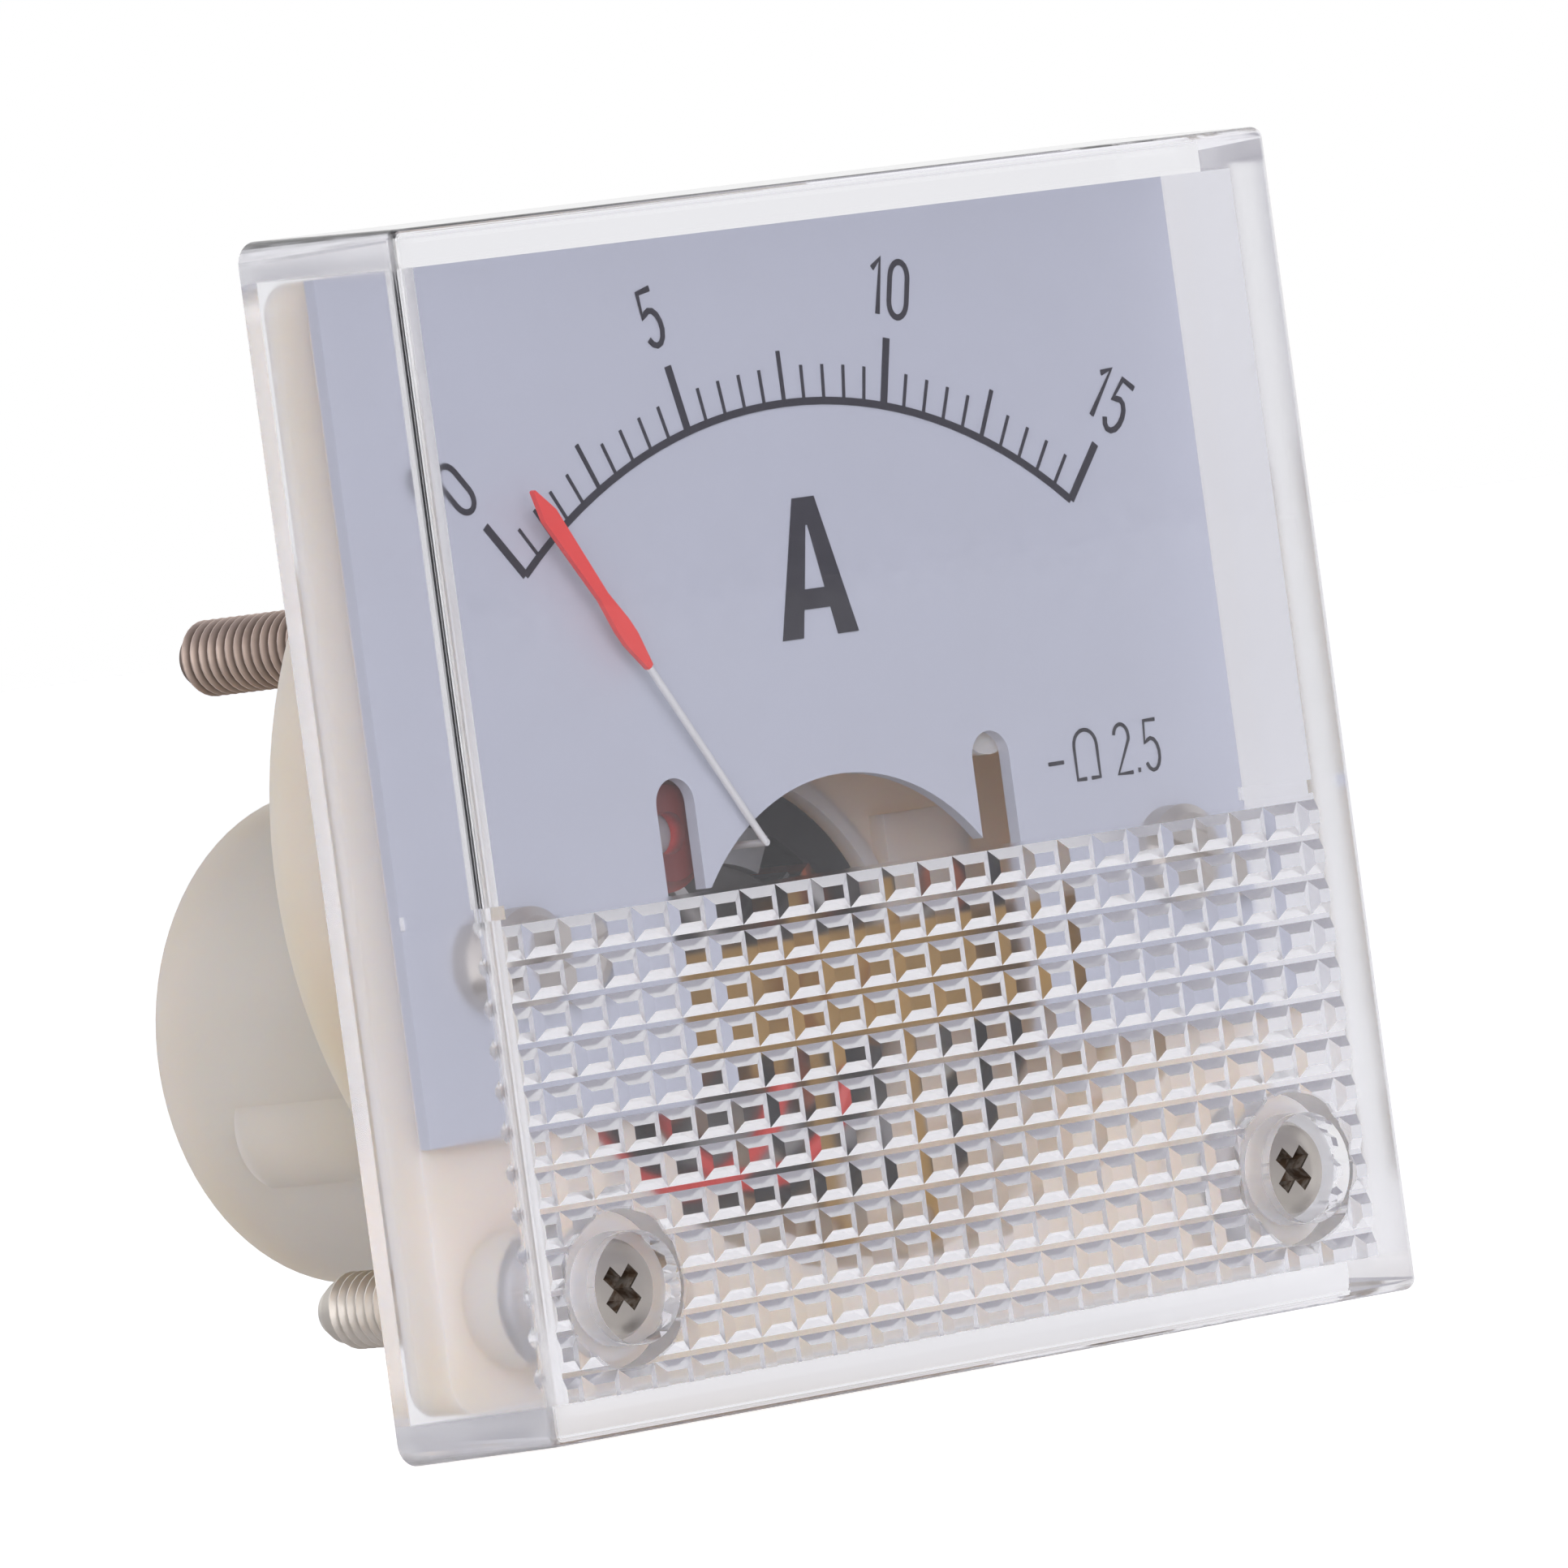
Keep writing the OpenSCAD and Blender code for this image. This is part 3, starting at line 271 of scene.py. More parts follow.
def joined(pieces, name):
    bpy.ops.object.select_all(action="DESELECT")
    for piece in pieces:
        piece.select_set(True)
    bpy.context.view_layer.objects.active = pieces[0]
    bpy.ops.object.join()
    pieces[0].name = pieces[0].data.name = name
    return pieces[0]


def placed_copy(piece, name, x, z):
    """A copy of a piece with its own mesh, moved across from the Y axis to (x, z)."""
    copy = piece.copy()
    copy.data = piece.data.copy()
    copy.name = copy.data.name = name
    bpy.context.collection.objects.link(copy)
    copy.location = (x, 0, z)
    only(copy)
    bpy.ops.object.transform_apply(location=True, rotation=True, scale=True)
    bpy.ops.object.shade_smooth_by_angle(angle=math.radians(35))
    return copy


def dress(piece, material):
    piece.data.materials.clear()
    piece.data.materials.append(material)


def finish_node(name, material):
    """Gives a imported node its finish, on every slot it has."""
    node = NODES[name]
    for slot in node.material_slots:
        slot.material = material
    if not node.material_slots:
        node.data.materials.append(material)


# Material helpers ------------------------------------------------------------


def add(tree, kind, inputs=None, **settings):
    """Adds a shader node with its settings. An input is a value, a socket, or a node, which stands for
    its first output."""
    node = tree.nodes.new("ShaderNode" + kind)
    for key, value in settings.items():
        setattr(node, key, value)
    for key, value in (inputs or {}).items():
        if isinstance(value, bpy.types.Node):
            value = value.outputs[0]
        if isinstance(value, bpy.types.NodeSocket):
            tree.links.new(value, node.inputs[key])
        else:
            node.inputs[key].default_value = value
    return node


def new_material(name):
    """A new material, its empty tree, and coordinates that stay with the object."""
    material = bpy.data.materials.new(name)
    material.use_nodes = True
    tree = material.node_tree
    tree.nodes.clear()
    return material, tree, add(tree, "TexCoord").outputs["Object"]


def per_mm(pattern_mm):
    """A texture scale for one feature each pattern_mm, on coordinates in metres."""
    return 1 / (pattern_mm * MM)


def radius_about(tree, coords, x, z):
    """Distance of a point from the line along Y through (x, z), in metres."""
    moved = add(tree, "VectorMath", {0: coords, 1: (-x, 0, -z)}, operation="ADD")
    flat = add(tree, "VectorMath", {0: moved, 1: (1, 0, 1)}, operation="MULTIPLY")
    return add(tree, "VectorMath", {0: flat}, operation="LENGTH").outputs["Value"]


# Materials -------------------------------------------------------------------


def clear_polystyrene(colours):
    """Injection-moulded crystal polystyrene: glossy and colourless, with faint flow waves. The pressed
    prisms, the screw sleeves and the side walls are duller than the polished flats."""
    material, tree, coords = new_material("clear_polystyrene")
    # Flow waves some 8 mm apart, far below what a finger feels
    waves = add(tree, "TexNoise", {"Vector": coords, "Scale": per_mm(8), "Detail": 1.0})
    ripple = add(tree, "Bump", {"Height": waves, "Distance": 0.02 * MM, "Strength": 0.25})
    place = add(tree, "SeparateXYZ", {0: coords})
    lowered = add(tree, "Math", {0: place.outputs["Z"], 1: BAND_TOP}, operation="LESS_THAN")
    behind = add(tree, "Math", {0: place.outputs["Y"], 1: BAND_FRONT}, operation="GREATER_THAN")
    before = add(tree, "Math", {0: place.outputs["Y"], 1: BAND_BACK}, operation="LESS_THAN")
    deep = add(tree, "Math", {0: behind, 1: before}, operation="MULTIPLY")
    pressed = add(tree, "Math", {0: lowered, 1: deep}, operation="MULTIPLY")
    mist = add(tree, "TexNoise", {"Vector": coords, "Scale": per_mm(0.9), "Detail": 4.0})
    polish = add(tree, "MapRange", {"Value": mist, "From Min": 0.35, "From Max": 0.75,
                                    "To Min": 0.01, "To Max": 0.04})
    soft = add(tree, "MapRange", {"Value": pressed, "To Min": 0.0, "To Max": 0.12})
    # The two screw sleeves keep the matt skin of their eroded mould pins
    low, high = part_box("cover_screw_right")
    axis = (low + high) / 2
    mirrored = add(tree, "VectorMath", {0: coords}, operation="ABSOLUTE")
    off_axis = radius_about(tree, mirrored, axis.x, -axis.z)
    round_screw = add(tree, "Math", {0: off_axis, 1: SLEEVE_REACH}, operation="LESS_THAN")
    below = add(tree, "Math", {0: lowered, 1: behind}, operation="MULTIPLY")
    sleeve = add(tree, "Math", {0: round_screw, 1: below}, operation="MULTIPLY")
    matt = add(tree, "MapRange", {"Value": sleeve, "To Min": 0.0, "To Max": 0.4})
    skin = add(tree, "Math", {0: soft, 1: matt}, operation="MAXIMUM")
    # The side walls drag on the mould as they leave it, and stay a little dull
    side = add(tree, "SeparateXYZ", {0: mirrored})
    rubbed = add(tree, "MapRange", {
        "Value": side.outputs["X"], "From Min": cad_box[1][0] - SIDE_DRAG,
        "From Max": cad_box[1][0] - 0.5 * SIDE_DRAG, "To Min": 0.0, "To Max": 0.15})
    dulled = add(tree, "Math", {0: skin, 1: rubbed}, operation="MAXIMUM")
    haze = add(tree, "Math", {0: polish, 1: dulled}, operation="ADD")
    glass = add(tree, "BsdfPrincipled", {
        "Base Color": colours.cover, "Roughness": haze, "IOR": 1.59, "Transmission Weight": 1.0,
        "Normal": ripple})
    # Lamps reach the dial behind the clear walls
    open_way = add(tree, "BsdfTransparent", {"Color": colours.cover})
    path = add(tree, "LightPath")
    surface = add(tree, "MixShader", {0: path.outputs["Is Shadow Ray"], 1: glass, 2: open_way})
    add(tree, "OutputMaterial", {"Surface": surface})
    return material


def ivory_moulding(colours):
    """Moulded ivory thermoplastic: satin and a little translucent, slightly yellowed in soft patches,
    with a fine moulded skin."""
    material, tree, coords = new_material("ivory_moulding")
    ageing = add(tree, "TexNoise", {"Vector": coords, "Scale": per_mm(14), "Detail": 2.0})
    patches = add(tree, "MapRange", {"Value": ageing, "From Min": 0.4, "From Max": 0.7})
    base = add(tree, "Mix", {0: patches, 6: colours.ivory, 7: colours.ivory_aged}, data_type="RGBA")
    rub = add(tree, "TexNoise", {"Vector": coords, "Scale": per_mm(3), "Detail": 3.0})
    satin = add(tree, "MapRange", {"Value": rub, "From Min": 0.3, "From Max": 0.7,
                                   "To Min": 0.34, "To Max": 0.46})
    skin = add(tree, "TexNoise", {"Vector": coords, "Scale": per_mm(0.25), "Detail": 2.0})
    relief = add(tree, "Bump", {"Height": skin, "Distance": 0.01 * MM, "Strength": 0.5})
    shell = add(tree, "BsdfPrincipled", {
        "Base Color": base.outputs[2], "Roughness": satin, "IOR": 1.5, "Subsurface Weight": 0.75,
        "Subsurface Radius": (0.007, 0.005, 0.0032), "Subsurface Scale": 1.0, "Normal": relief})
    add(tree, "OutputMaterial", {"Surface": shell})
    return material


def dial_enamel(colours):
    """Stoved enamel on sheet, a trace mottled, with screen-printed ink on the raised print."""
    material, tree, coords = new_material("dial_enamel")
    depth = add(tree, "SeparateXYZ", {0: coords}).outputs["Y"]
    printed = add(tree, "Math", {0: depth, 1: DIAL_FRONT - 0.2 * INK}, operation="LESS_THAN")
    clouds = add(tree, "TexNoise", {"Vector": coords, "Scale": per_mm(5), "Detail": 4.0})
    mottle = add(tree, "MapRange", {"Value": clouds, "From Min": 0.35, "From Max": 0.65,
                                    "To Min": 0.0, "To Max": 0.25})
    dull = add(tree, "HueSaturation", {"Color": colours.enamel, "Saturation": 0.85, "Value": 0.93})
    paint = add(tree, "Mix", {0: mottle, 6: colours.enamel, 7: dull}, data_type="RGBA")
    face = add(tree, "Mix", {0: printed, 6: paint.outputs[2], 7: colours.ink}, data_type="RGBA")
    gloss = add(tree, "MapRange", {"Value": printed, "To Min": 0.42, "To Max": 0.7})
    peel = add(tree, "TexNoise", {"Vector": coords, "Scale": per_mm(0.6), "Detail": 2.0})
    relief = add(tree, "Bump", {"Height": peel, "Distance": 0.004 * MM, "Strength": 0.25})
    enamel = add(tree, "BsdfPrincipled", {"Base Color": face.outputs[2], "Roughness": gloss, "IOR": 1.5,
                                          "Normal": relief})
    add(tree, "OutputMaterial", {"Surface": enamel})
    return material


def printed_ink(colours):
    """Screen-printing ink: matt, with a very fine tooth."""
    material, tree, coords = new_material("printed_ink")
    tooth = add(tree, "TexNoise", {"Vector": coords, "Scale": per_mm(0.15), "Detail": 2.0})
    relief = add(tree, "Bump", {"Height": tooth, "Distance": 0.004 * MM, "Strength": 0.4})
    ink = add(tree, "BsdfPrincipled", {"Base Color": colours.ink, "Roughness": 0.7, "IOR": 1.5,
                                       "Normal": relief})
    add(tree, "OutputMaterial", {"Surface": ink})
    return material


def pointer_paint(colours):
    """Red lacquer on the lance, with the bare aluminium needle below it."""
    material, tree, coords = new_material("pointer_paint")
    out_along = radius_about(tree, coords, PIVOT.x, PIVOT.z)
    red = add(tree, "Math", {0: out_along, 1: LANCE_START}, operation="GREATER_THAN")
    paint = add(tree, "Mix", {0: red, 6: colours.needle, 7: colours.lance}, data_type="RGBA")
    brush = add(tree, "TexNoise", {"Vector": coords, "Scale": per_mm(0.4), "Detail": 3.0})
    gloss = add(tree, "MapRange", {"Value": brush, "From Min": 0.3, "From Max": 0.7,
                                   "To Min": 0.35, "To Max": 0.5})
    metal = add(tree, "MapRange", {"Value": red, "To Min": 0.35, "To Max": 0.0})
    pointer = add(tree, "BsdfPrincipled", {"Base Color": paint.outputs[2], "Roughness": gloss,
                                           "Metallic": metal})
    add(tree, "OutputMaterial", {"Surface": pointer})
    return material


def plated_steel(colours):
    """Zinc-plated steel: dulled and finely spangled, with dark brown painted shade in the cover screws'
    recesses.
    """
    material, tree, coords = new_material("plated_steel")
    low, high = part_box("cover_screw_right")
    centre = (low + high) / 2
    mirrored = add(tree, "VectorMath", {0: coords}, operation="ABSOLUTE")
    off_axis = radius_about(tree, mirrored, centre.x, -centre.z)
    recess_r, recess_top, recess_floor = 1.35 * MM, low.y + 0.09 * MM, low.y + 1.2 * MM
    near = add(tree, "Math", {0: off_axis, 1: recess_r}, operation="LESS_THAN")
    place = add(tree, "SeparateXYZ", {0: coords})
    sunk = add(tree, "Math", {0: place.outputs["Y"], 1: recess_top}, operation="GREATER_THAN")
    above = add(tree, "Math", {0: place.outputs["Y"], 1: recess_floor}, operation="LESS_THAN")
    within = add(tree, "Math", {0: sunk, 1: above}, operation="MULTIPLY")
    hollow = add(tree, "Math", {0: near, 1: within}, operation="MULTIPLY")
    # Painted shade in the cross recesses: dark brown, broken into patches by noise, matt and not metallic
    shade_noise = add(tree, "TexNoise", {"Vector": coords, "Scale": per_mm(0.35), "Detail": 4.0})
    shade_patches = add(tree, "MapRange", {"Value": shade_noise, "From Min": 0.3, "From Max": 0.6,
                                    "To Min": 0.55, "To Max": 1.0})
    hollow_shade = add(tree, "Math", {0: hollow, 1: shade_patches}, operation="MULTIPLY")
    colour = add(tree, "Mix", {0: hollow_shade, 6: colours.zinc, 7: colours.hollow_shade}, data_type="RGBA")
    metal = add(tree, "MapRange", {"Value": hollow_shade, "To Min": 1.0, "To Max": 0.1})
    rough = add(tree, "MapRange", {"Value": hollow_shade, "To Min": 0.36, "To Max": 0.8})
    spangle = add(tree, "TexNoise", {"Vector": coords, "Scale": per_mm(0.3), "Detail": 3.0})
    relief = add(tree, "Bump", {"Height": spangle, "Distance": 0.012 * MM, "Strength": 0.5})
    steel = add(tree, "BsdfPrincipled", {"Base Color": colour.outputs[2], "Metallic": metal,
                                         "Roughness": rough, "Normal": relief})
    add(tree, "OutputMaterial", {"Surface": steel})
    return material


def stud_steel(colours, x, z):
    """Passivated steel gone brown-grey in patches, with dull crests and painted shade darkening the
    thread roots.
    """
    material, tree, coords = new_material("stud_steel")
    mirrored = add(tree, "VectorMath", {0: coords}, operation="ABSOLUTE")
    off_axis = radius_about(tree, mirrored, x, z)
    crest = add(tree, "MapRange", {"Value": off_axis, "From Min": 1.25 * MM, "From Max": 1.42 * MM})
    tarnish = add(tree, "TexNoise", {"Vector": coords, "Scale": per_mm(1.2), "Detail": 4.0})
    patchy = add(tree, "MapRange", {"Value": tarnish, "From Min": 0.35, "From Max": 0.7,
                                    "To Min": 0.0, "To Max": 0.35})
    top = add(tree, "Mix", {0: patchy, 6: colours.stud, 7: colours.tarnish_and_root_shade}, data_type="RGBA")
    # Painted shade: the thread roots, below the crests, take the darker colour
    colour = add(tree, "Mix", {0: crest, 6: colours.tarnish_and_root_shade, 7: top.outputs[2]}, data_type="RGBA")
    rough = add(tree, "MapRange", {"Value": crest, "To Min": 0.6, "To Max": 0.42})
    pits = add(tree, "TexNoise", {"Vector": coords, "Scale": per_mm(0.2), "Detail": 3.0})
    relief = add(tree, "Bump", {"Height": pits, "Distance": 0.01 * MM, "Strength": 0.5})
    steel = add(tree, "BsdfPrincipled", {"Base Color": colour.outputs[2], "Metallic": 0.85,
                                         "Roughness": rough, "Normal": relief})
    add(tree, "OutputMaterial", {"Surface": steel})
    return material


def bare_metal(name, colour, roughness, pattern_mm=0.5, darker=0.75):
    """A bare metal with patchy tarnish; its grain is drawn at pattern_mm so that it shows."""
    material, tree, coords = new_material(name)
    tarnish = add(tree, "TexNoise", {"Vector": coords, "Scale": per_mm(4 * pattern_mm), "Detail": 4.0})
    patches = add(tree, "MapRange", {"Value": tarnish, "From Min": 0.35, "From Max": 0.7})
    dull = add(tree, "HueSaturation", {"Color": colour, "Value": darker})
    tone = add(tree, "Mix", {0: patches, 6: colour, 7: dull}, data_type="RGBA")
    rub = add(tree, "TexNoise", {"Vector": coords, "Scale": per_mm(pattern_mm), "Detail": 3.0})
    rough = add(tree, "MapRange", {"Value": rub, "From Min": 0.3, "From Max": 0.7,
                                   "To Min": roughness, "To Max": roughness + 0.15})
    tool_marks = add(tree, "TexNoise", {"Vector": coords, "Scale": per_mm(pattern_mm / 2),
                                        "Detail": 2.0})
    relief = add(tree, "Bump", {"Height": tool_marks, "Distance": 0.006 * MM, "Strength": 0.5})
    metal = add(tree, "BsdfPrincipled", {"Base Color": tone.outputs[2], "Metallic": 1.0,
                                         "Roughness": rough, "Normal": relief})
    add(tree, "OutputMaterial", {"Surface": metal})
    return material


def wound_wire(name, colour, groove_shade, wire_mm, axis, metallic, roughness):
    """Turns of fine wire side by side, drawn wire_mm apart along one axis so that they show. The grooves
    between turns are painted shade, and the crests keep the wire's own colour.
    """
    material, tree, coords = new_material(name)
    turns = add(tree, "TexWave", {"Vector": coords, "Scale": per_mm(wire_mm) / 20, "Distortion": 0.6,
                                  "Detail": 1.0, "Detail Scale": 2.0},
                wave_type="BANDS", bands_direction=axis, wave_profile="SIN").outputs["Fac"]
    # Painted shade: the bands run from the shade colour in the grooves to the wire's colour on the crests
    lit = add(tree, "MapRange", {"Value": turns, "From Max": 0.6})
    tone = add(tree, "Mix", {0: lit, 6: groove_shade, 7: colour}, data_type="RGBA")
    relief = add(tree, "Bump", {"Height": turns, "Distance": 0.05 * MM, "Strength": 0.8})
    wire = add(tree, "BsdfPrincipled", {
        "Base Color": tone.outputs[2], "Metallic": metallic, "Roughness": roughness, "Coat Weight": 0.3,
        "Coat Roughness": 0.2, "Normal": relief})
    add(tree, "OutputMaterial", {"Surface": wire})
    return material


def pvc(name, colour):
    """Extruded PVC insulation: soft sheen with a slight orange peel."""
    material, tree, coords = new_material(name)
    rub = add(tree, "TexNoise", {"Vector": coords, "Scale": per_mm(1), "Detail": 3.0})
    sheen = add(tree, "MapRange", {"Value": rub, "From Min": 0.3, "From Max": 0.7,
                                   "To Min": 0.35, "To Max": 0.5})
    peel = add(tree, "TexNoise", {"Vector": coords, "Scale": per_mm(0.3), "Detail": 2.0})
    relief = add(tree, "Bump", {"Height": peel, "Distance": 0.01 * MM, "Strength": 0.5})
    sleeve = add(tree, "BsdfPrincipled", {"Base Color": colour, "IOR": 1.53, "Roughness": sheen,
                                          "Normal": relief})
    add(tree, "OutputMaterial", {"Surface": sleeve})
    return material


def cut_ruby(colours):
    """Synthetic ruby: deep red, polished, partly clear."""
    material, tree, coords = new_material("cut_ruby")
    rub = add(tree, "TexNoise", {"Vector": coords, "Scale": per_mm(0.3), "Detail": 3.0})
    polish = add(tree, "MapRange", {"Value": rub, "From Min": 0.3, "From Max": 0.7,
                                    "To Min": 0.04, "To Max": 0.12})
    jewel = add(tree, "BsdfPrincipled", {"Base Color": colours.ruby, "IOR": 1.77,
                                         "Transmission Weight": 0.4, "Roughness": polish})
    add(tree, "OutputMaterial", {"Surface": jewel})
    return material


# Dial figures ----------------------------------------------------------------


def arc(cx, cz, rx, rz, start, end, steps=10):
    """Points on an ellipse from start to end degrees, counter-clockwise from the right."""
    angles = [math.radians(start + (end - start) * i / steps) for i in range(steps + 1)]
    return [(cx + rx * math.cos(a), cz + rz * math.sin(a)) for a in angles]


# Strokes of each figure, in shares of its height; the last number is its width
FIGURES = {
    "0": ([arc(0.21, 0.72, 0.21, 0.28, 180, 0) + arc(0.21, 0.28, 0.21, 0.28, 0, -180)
           + [(0, 0.72)]], 0.42),
    "1": ([[(0.02, 0.8), (0.2, 1.0), (0.2, 0.0)]], 0.26),
    "2": ([arc(0.21, 0.76, 0.2, 0.24, 170, -20) + [(0.02, 0.02), (0.42, 0.02)]], 0.42),
    "5": ([[(0.38, 1.0), (0.07, 1.0), (0.03, 0.56)] + arc(0.2, 0.32, 0.2, 0.32, 118, -150)], 0.42),
    ".": ([[(0.04, 0.0), (0.04, 0.09)]], 0.1),
    "-": ([[(0.0, 0.42), (0.42, 0.42)]], 0.5),
    # horseshoe magnet, the sign for a moving-coil movement
    "magnet": ([[(0.24, 0.03), (0.0, 0.03), (0.0, 0.68)] + arc(0.31, 0.68, 0.31, 0.32, 180, 0)
                + [(0.62, 0.03), (0.38, 0.03)]], 0.64),
}


def stroke(name, points, width):
    """A flat painted stroke of one width, through (x, z) points in metres, on the dial."""
    curve = bpy.data.curves.new(name, "CURVE")
    curve.dimensions = "3D"
    curve.bevel_depth = width / 2
    curve.bevel_resolution = 2
    curve.use_fill_caps = True
    spline = curve.splines.new("POLY")
    spline.points.add(len(points) - 1)
    for point, (x, z) in zip(spline.points, points):
        point.co = (x, 0, z, 1)
    piece = bpy.data.objects.new(name, curve)
    bpy.context.collection.objects.link(piece)
    only(piece)
    bpy.ops.object.convert(target="MESH")
    piece = bpy.context.object
    piece.scale = (1, INK / width, 1)
    bpy.ops.object.transform_apply(location=True, rotation=True, scale=True)
    return piece


def figure_row(name, text, height, width, centre, turn, gap=0.2):
    """A row of figures centred at (x, z), turned by an angle, as one piece on the dial."""
    letters = list(text) if isinstance(text, str) else text
    total = sum(FIGURES[c][1] for c in letters) + gap * (len(letters) - 1)
    strokes, x = [], -total / 2
    for letter in letters:
        paths, advance = FIGURES[letter]
        for path in paths:
            points = [((x + px) * height, (pz - 0.5) * height) for px, pz in path]
            strokes.append(stroke(name, points, width))
        x += advance + gap
    piece = joined(strokes, name)
    place = Matrix.Translation((centre[0], DIAL_FRONT - INK / 2, centre[1]))
    piece.matrix_world = place @ Matrix.Rotation(turn, 4, "Y")
    only(piece)
    bpy.ops.object.transform_apply(location=True, rotation=True, scale=True)
    return piece


def unit_letter(name, height, centre):
    """The bold unit letter A, with its counter cut out."""
    outside = [(-0.37, 0), (-0.17, 0), (-0.13, 0.2), (0.13, 0.2), (0.17, 0), (0.37, 0),
               (0.105, 1), (-0.105, 1)]
    counter = [(-0.1, 0.345), (0.1, 0.345), (0.012, 0.8), (-0.012, 0.8)]
    curve = bpy.data.curves.new(name, "CURVE")
    curve.dimensions = "2D"
    curve.fill_mode = "BOTH"
    curve.extrude = INK / 2
    for outline in (outside, counter):
        spline = curve.splines.new("POLY")
        spline.points.add(len(outline) - 1)
        spline.use_cyclic_u = True
        for point, (x, z) in zip(spline.points, outline):
            point.co = (x * height, (z - 0.5) * height, 0, 1)
    piece = bpy.data.objects.new(name, curve)
    bpy.context.collection.objects.link(piece)
    only(piece)
    bpy.ops.object.convert(target="MESH")
    piece = bpy.context.object
    piece.rotation_euler = (math.pi / 2, 0, 0)
    piece.location = (centre[0], DIAL_FRONT - INK / 2, centre[1])
    bpy.ops.object.transform_apply(location=True, rotation=True, scale=True)
    outward(piece)
    return piece


# Operators -------------------------------------------------------------------


class METER_OT_cover(bpy.types.Operator):
    """Dress the clear cover, with a hair of air under its two sleeves so that light leaves them"""
    bl_idname = "meter.cover"
    bl_label = "Clear cover"

    def execute(self, context):
        node = NODES["front_cover"]
        cover = node.copy()
        cover.data = node.data.copy()
        cover.name = cover.data.name = "clear_cover"
        bpy.context.collection.objects.link(cover)
        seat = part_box("base_case")[0].y
        outward(cover)
        for vertex in cover.data.vertices:
            if abs(vertex.co.y - seat) < 0.005 * MM:
                vertex.co.y -= context.scene.meter_sizes.seat_air
        only(cover)
        bpy.ops.object.shade_smooth_by_angle(angle=math.radians(20))
        low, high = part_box("cover_screw_right")
        centre = (low + high) / 2
        for polygon in cover.data.polygons:
            off_axis = Vector((abs(polygon.center.x) - centre.x, polygon.center.z - centre.z)).length
            polygon.use_smooth = abs(polygon.normal.y) < 0.1 and off_axis < SLEEVE_REACH
        dress(cover, clear_polystyrene(context.scene.meter_colours))
        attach(cover, "case")
        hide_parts("front_cover")
        return {"FINISHED"}


class METER_OT_base(bpy.types.Operator):
    """Finish the base moulding"""
    bl_idname = "meter.base"
    bl_label = "Base moulding"

    def execute(self, context):
        finish_node("base_case", ivory_moulding(context.scene.meter_colours))
        return {"FINISHED"}


class METER_OT_dial(bpy.types.Operator):
    """Finish the dial and print its figures, letter and signs"""
    bl_idname = "meter.dial"
    bl_label = "Dial"

    def execute(self, context):
        sizes, colours = context.scene.meter_sizes, context.scene.meter_colours
        finish_node("dial_plate", dial_enamel(colours))
        ink = printed_ink(colours)
        made = []
        for value, degrees in SCALE_NUMBERS:
            turn = math.radians(degrees)
            place = (PIVOT.x + sizes.figure_radius * math.sin(turn),
                     PIVOT.z + sizes.figure_radius * math.cos(turn))
            made.append(figure_row("figure_" + value, value, sizes.figure_height, sizes.figure_stroke,
                                   place, turn))
        made.append(unit_letter("unit_letter", sizes.letter_height, UNIT_PLACE))
        for name, text, x in SIGNS:
            made.append(figure_row(name, text, sizes.sign_height, sizes.sign_stroke,
                                   (x, SIGN_LINE), 0.0, 0.14))
        for piece in made:
            dress(piece, ink)
            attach(piece, "case")
        return {"FINISHED"}


class METER_OT_cover_screws(bpy.types.Operator):
    """Model the two long cover screws with domed heads, cross recesses and threads"""
    bl_idname = "meter.cover_screws"
    bl_label = "Cover screws"

    def execute(self, context):
        sizes = context.scene.meter_sizes
        low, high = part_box("cover_screw_left")
        head_r = (high.x - low.x) / 2
        front, tip = low.y, high.y
        seat = front + SCREW_HEAD
        root = THREAD_CREST - sizes.thread_depth
        core = turned("screw_core", [
            (0.45 * head_r, front), (0.7 * head_r, front + 0.05 * MM), (0.88 * head_r, front + 0.2 * MM),
            (0.97 * head_r, front + 0.5 * MM), (head_r, front + 0.85 * MM), (head_r, seat - 0.08 * MM),
            (0.96 * head_r, seat), (SCREW_WAIST, seat), (SCREW_WAIST, 0), (root, 0.15 * MM),
            (root, tip - sizes.thread_end), (0.62 * THREAD_CREST, tip - 0.1 * MM),
            (0.5 * THREAD_CREST, tip)])
        for angle in (45, 135):
            bpy.ops.object.select_all(action="DESELECT")
            sunk = sizes.recess_depth
            bpy.ops.mesh.primitive_cube_add(size=1, location=(0, front + 0.4 * sunk, 0),
                                            rotation=(0, math.radians(angle), 0))
            cutter = bpy.context.object
            cutter.scale = (sizes.recess_width, 1.2 * sunk, sizes.recess_slot)
            cutter = added("recess_cutter")
            deep = max(v.co.y for v in cutter.data.vertices)
            for vertex in cutter.data.vertices:
                vertex.select = vertex.co.y > deep - 0.01 * MM
            for polygon in cutter.data.polygons:
                polygon.select = False
            bpy.ops.object.mode_set(mode="EDIT")
            bpy.ops.transform.resize(value=(0.6, 1, 0.6), center_override=(0, deep, 0))
            bpy.ops.object.mode_set(mode="OBJECT")
            apply_modifier(core, "BOOLEAN", object=cutter, operation="DIFFERENCE", solver="EXACT")
            bpy.data.objects.remove(cutter)
        ridge = thread_ridge("screw_thread", root, THREAD_CREST, sizes.thread_pitch,
                             0.25 * MM, tip - 0.35 * MM)
        screw = joined([core, ridge], "cover_screw")
        material = plated_steel(context.scene.meter_colours)
        for side in ("left", "right"):
            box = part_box("cover_screw_" + side)
            centre = (box[0] + box[1]) / 2
            copy = placed_copy(screw, "cross_screw_" + side, centre.x, centre.z)
            dress(copy, material)
            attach(copy, "case")
            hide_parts("cover_screw_" + side)
        bpy.data.objects.remove(screw)
        return {"FINISHED"}


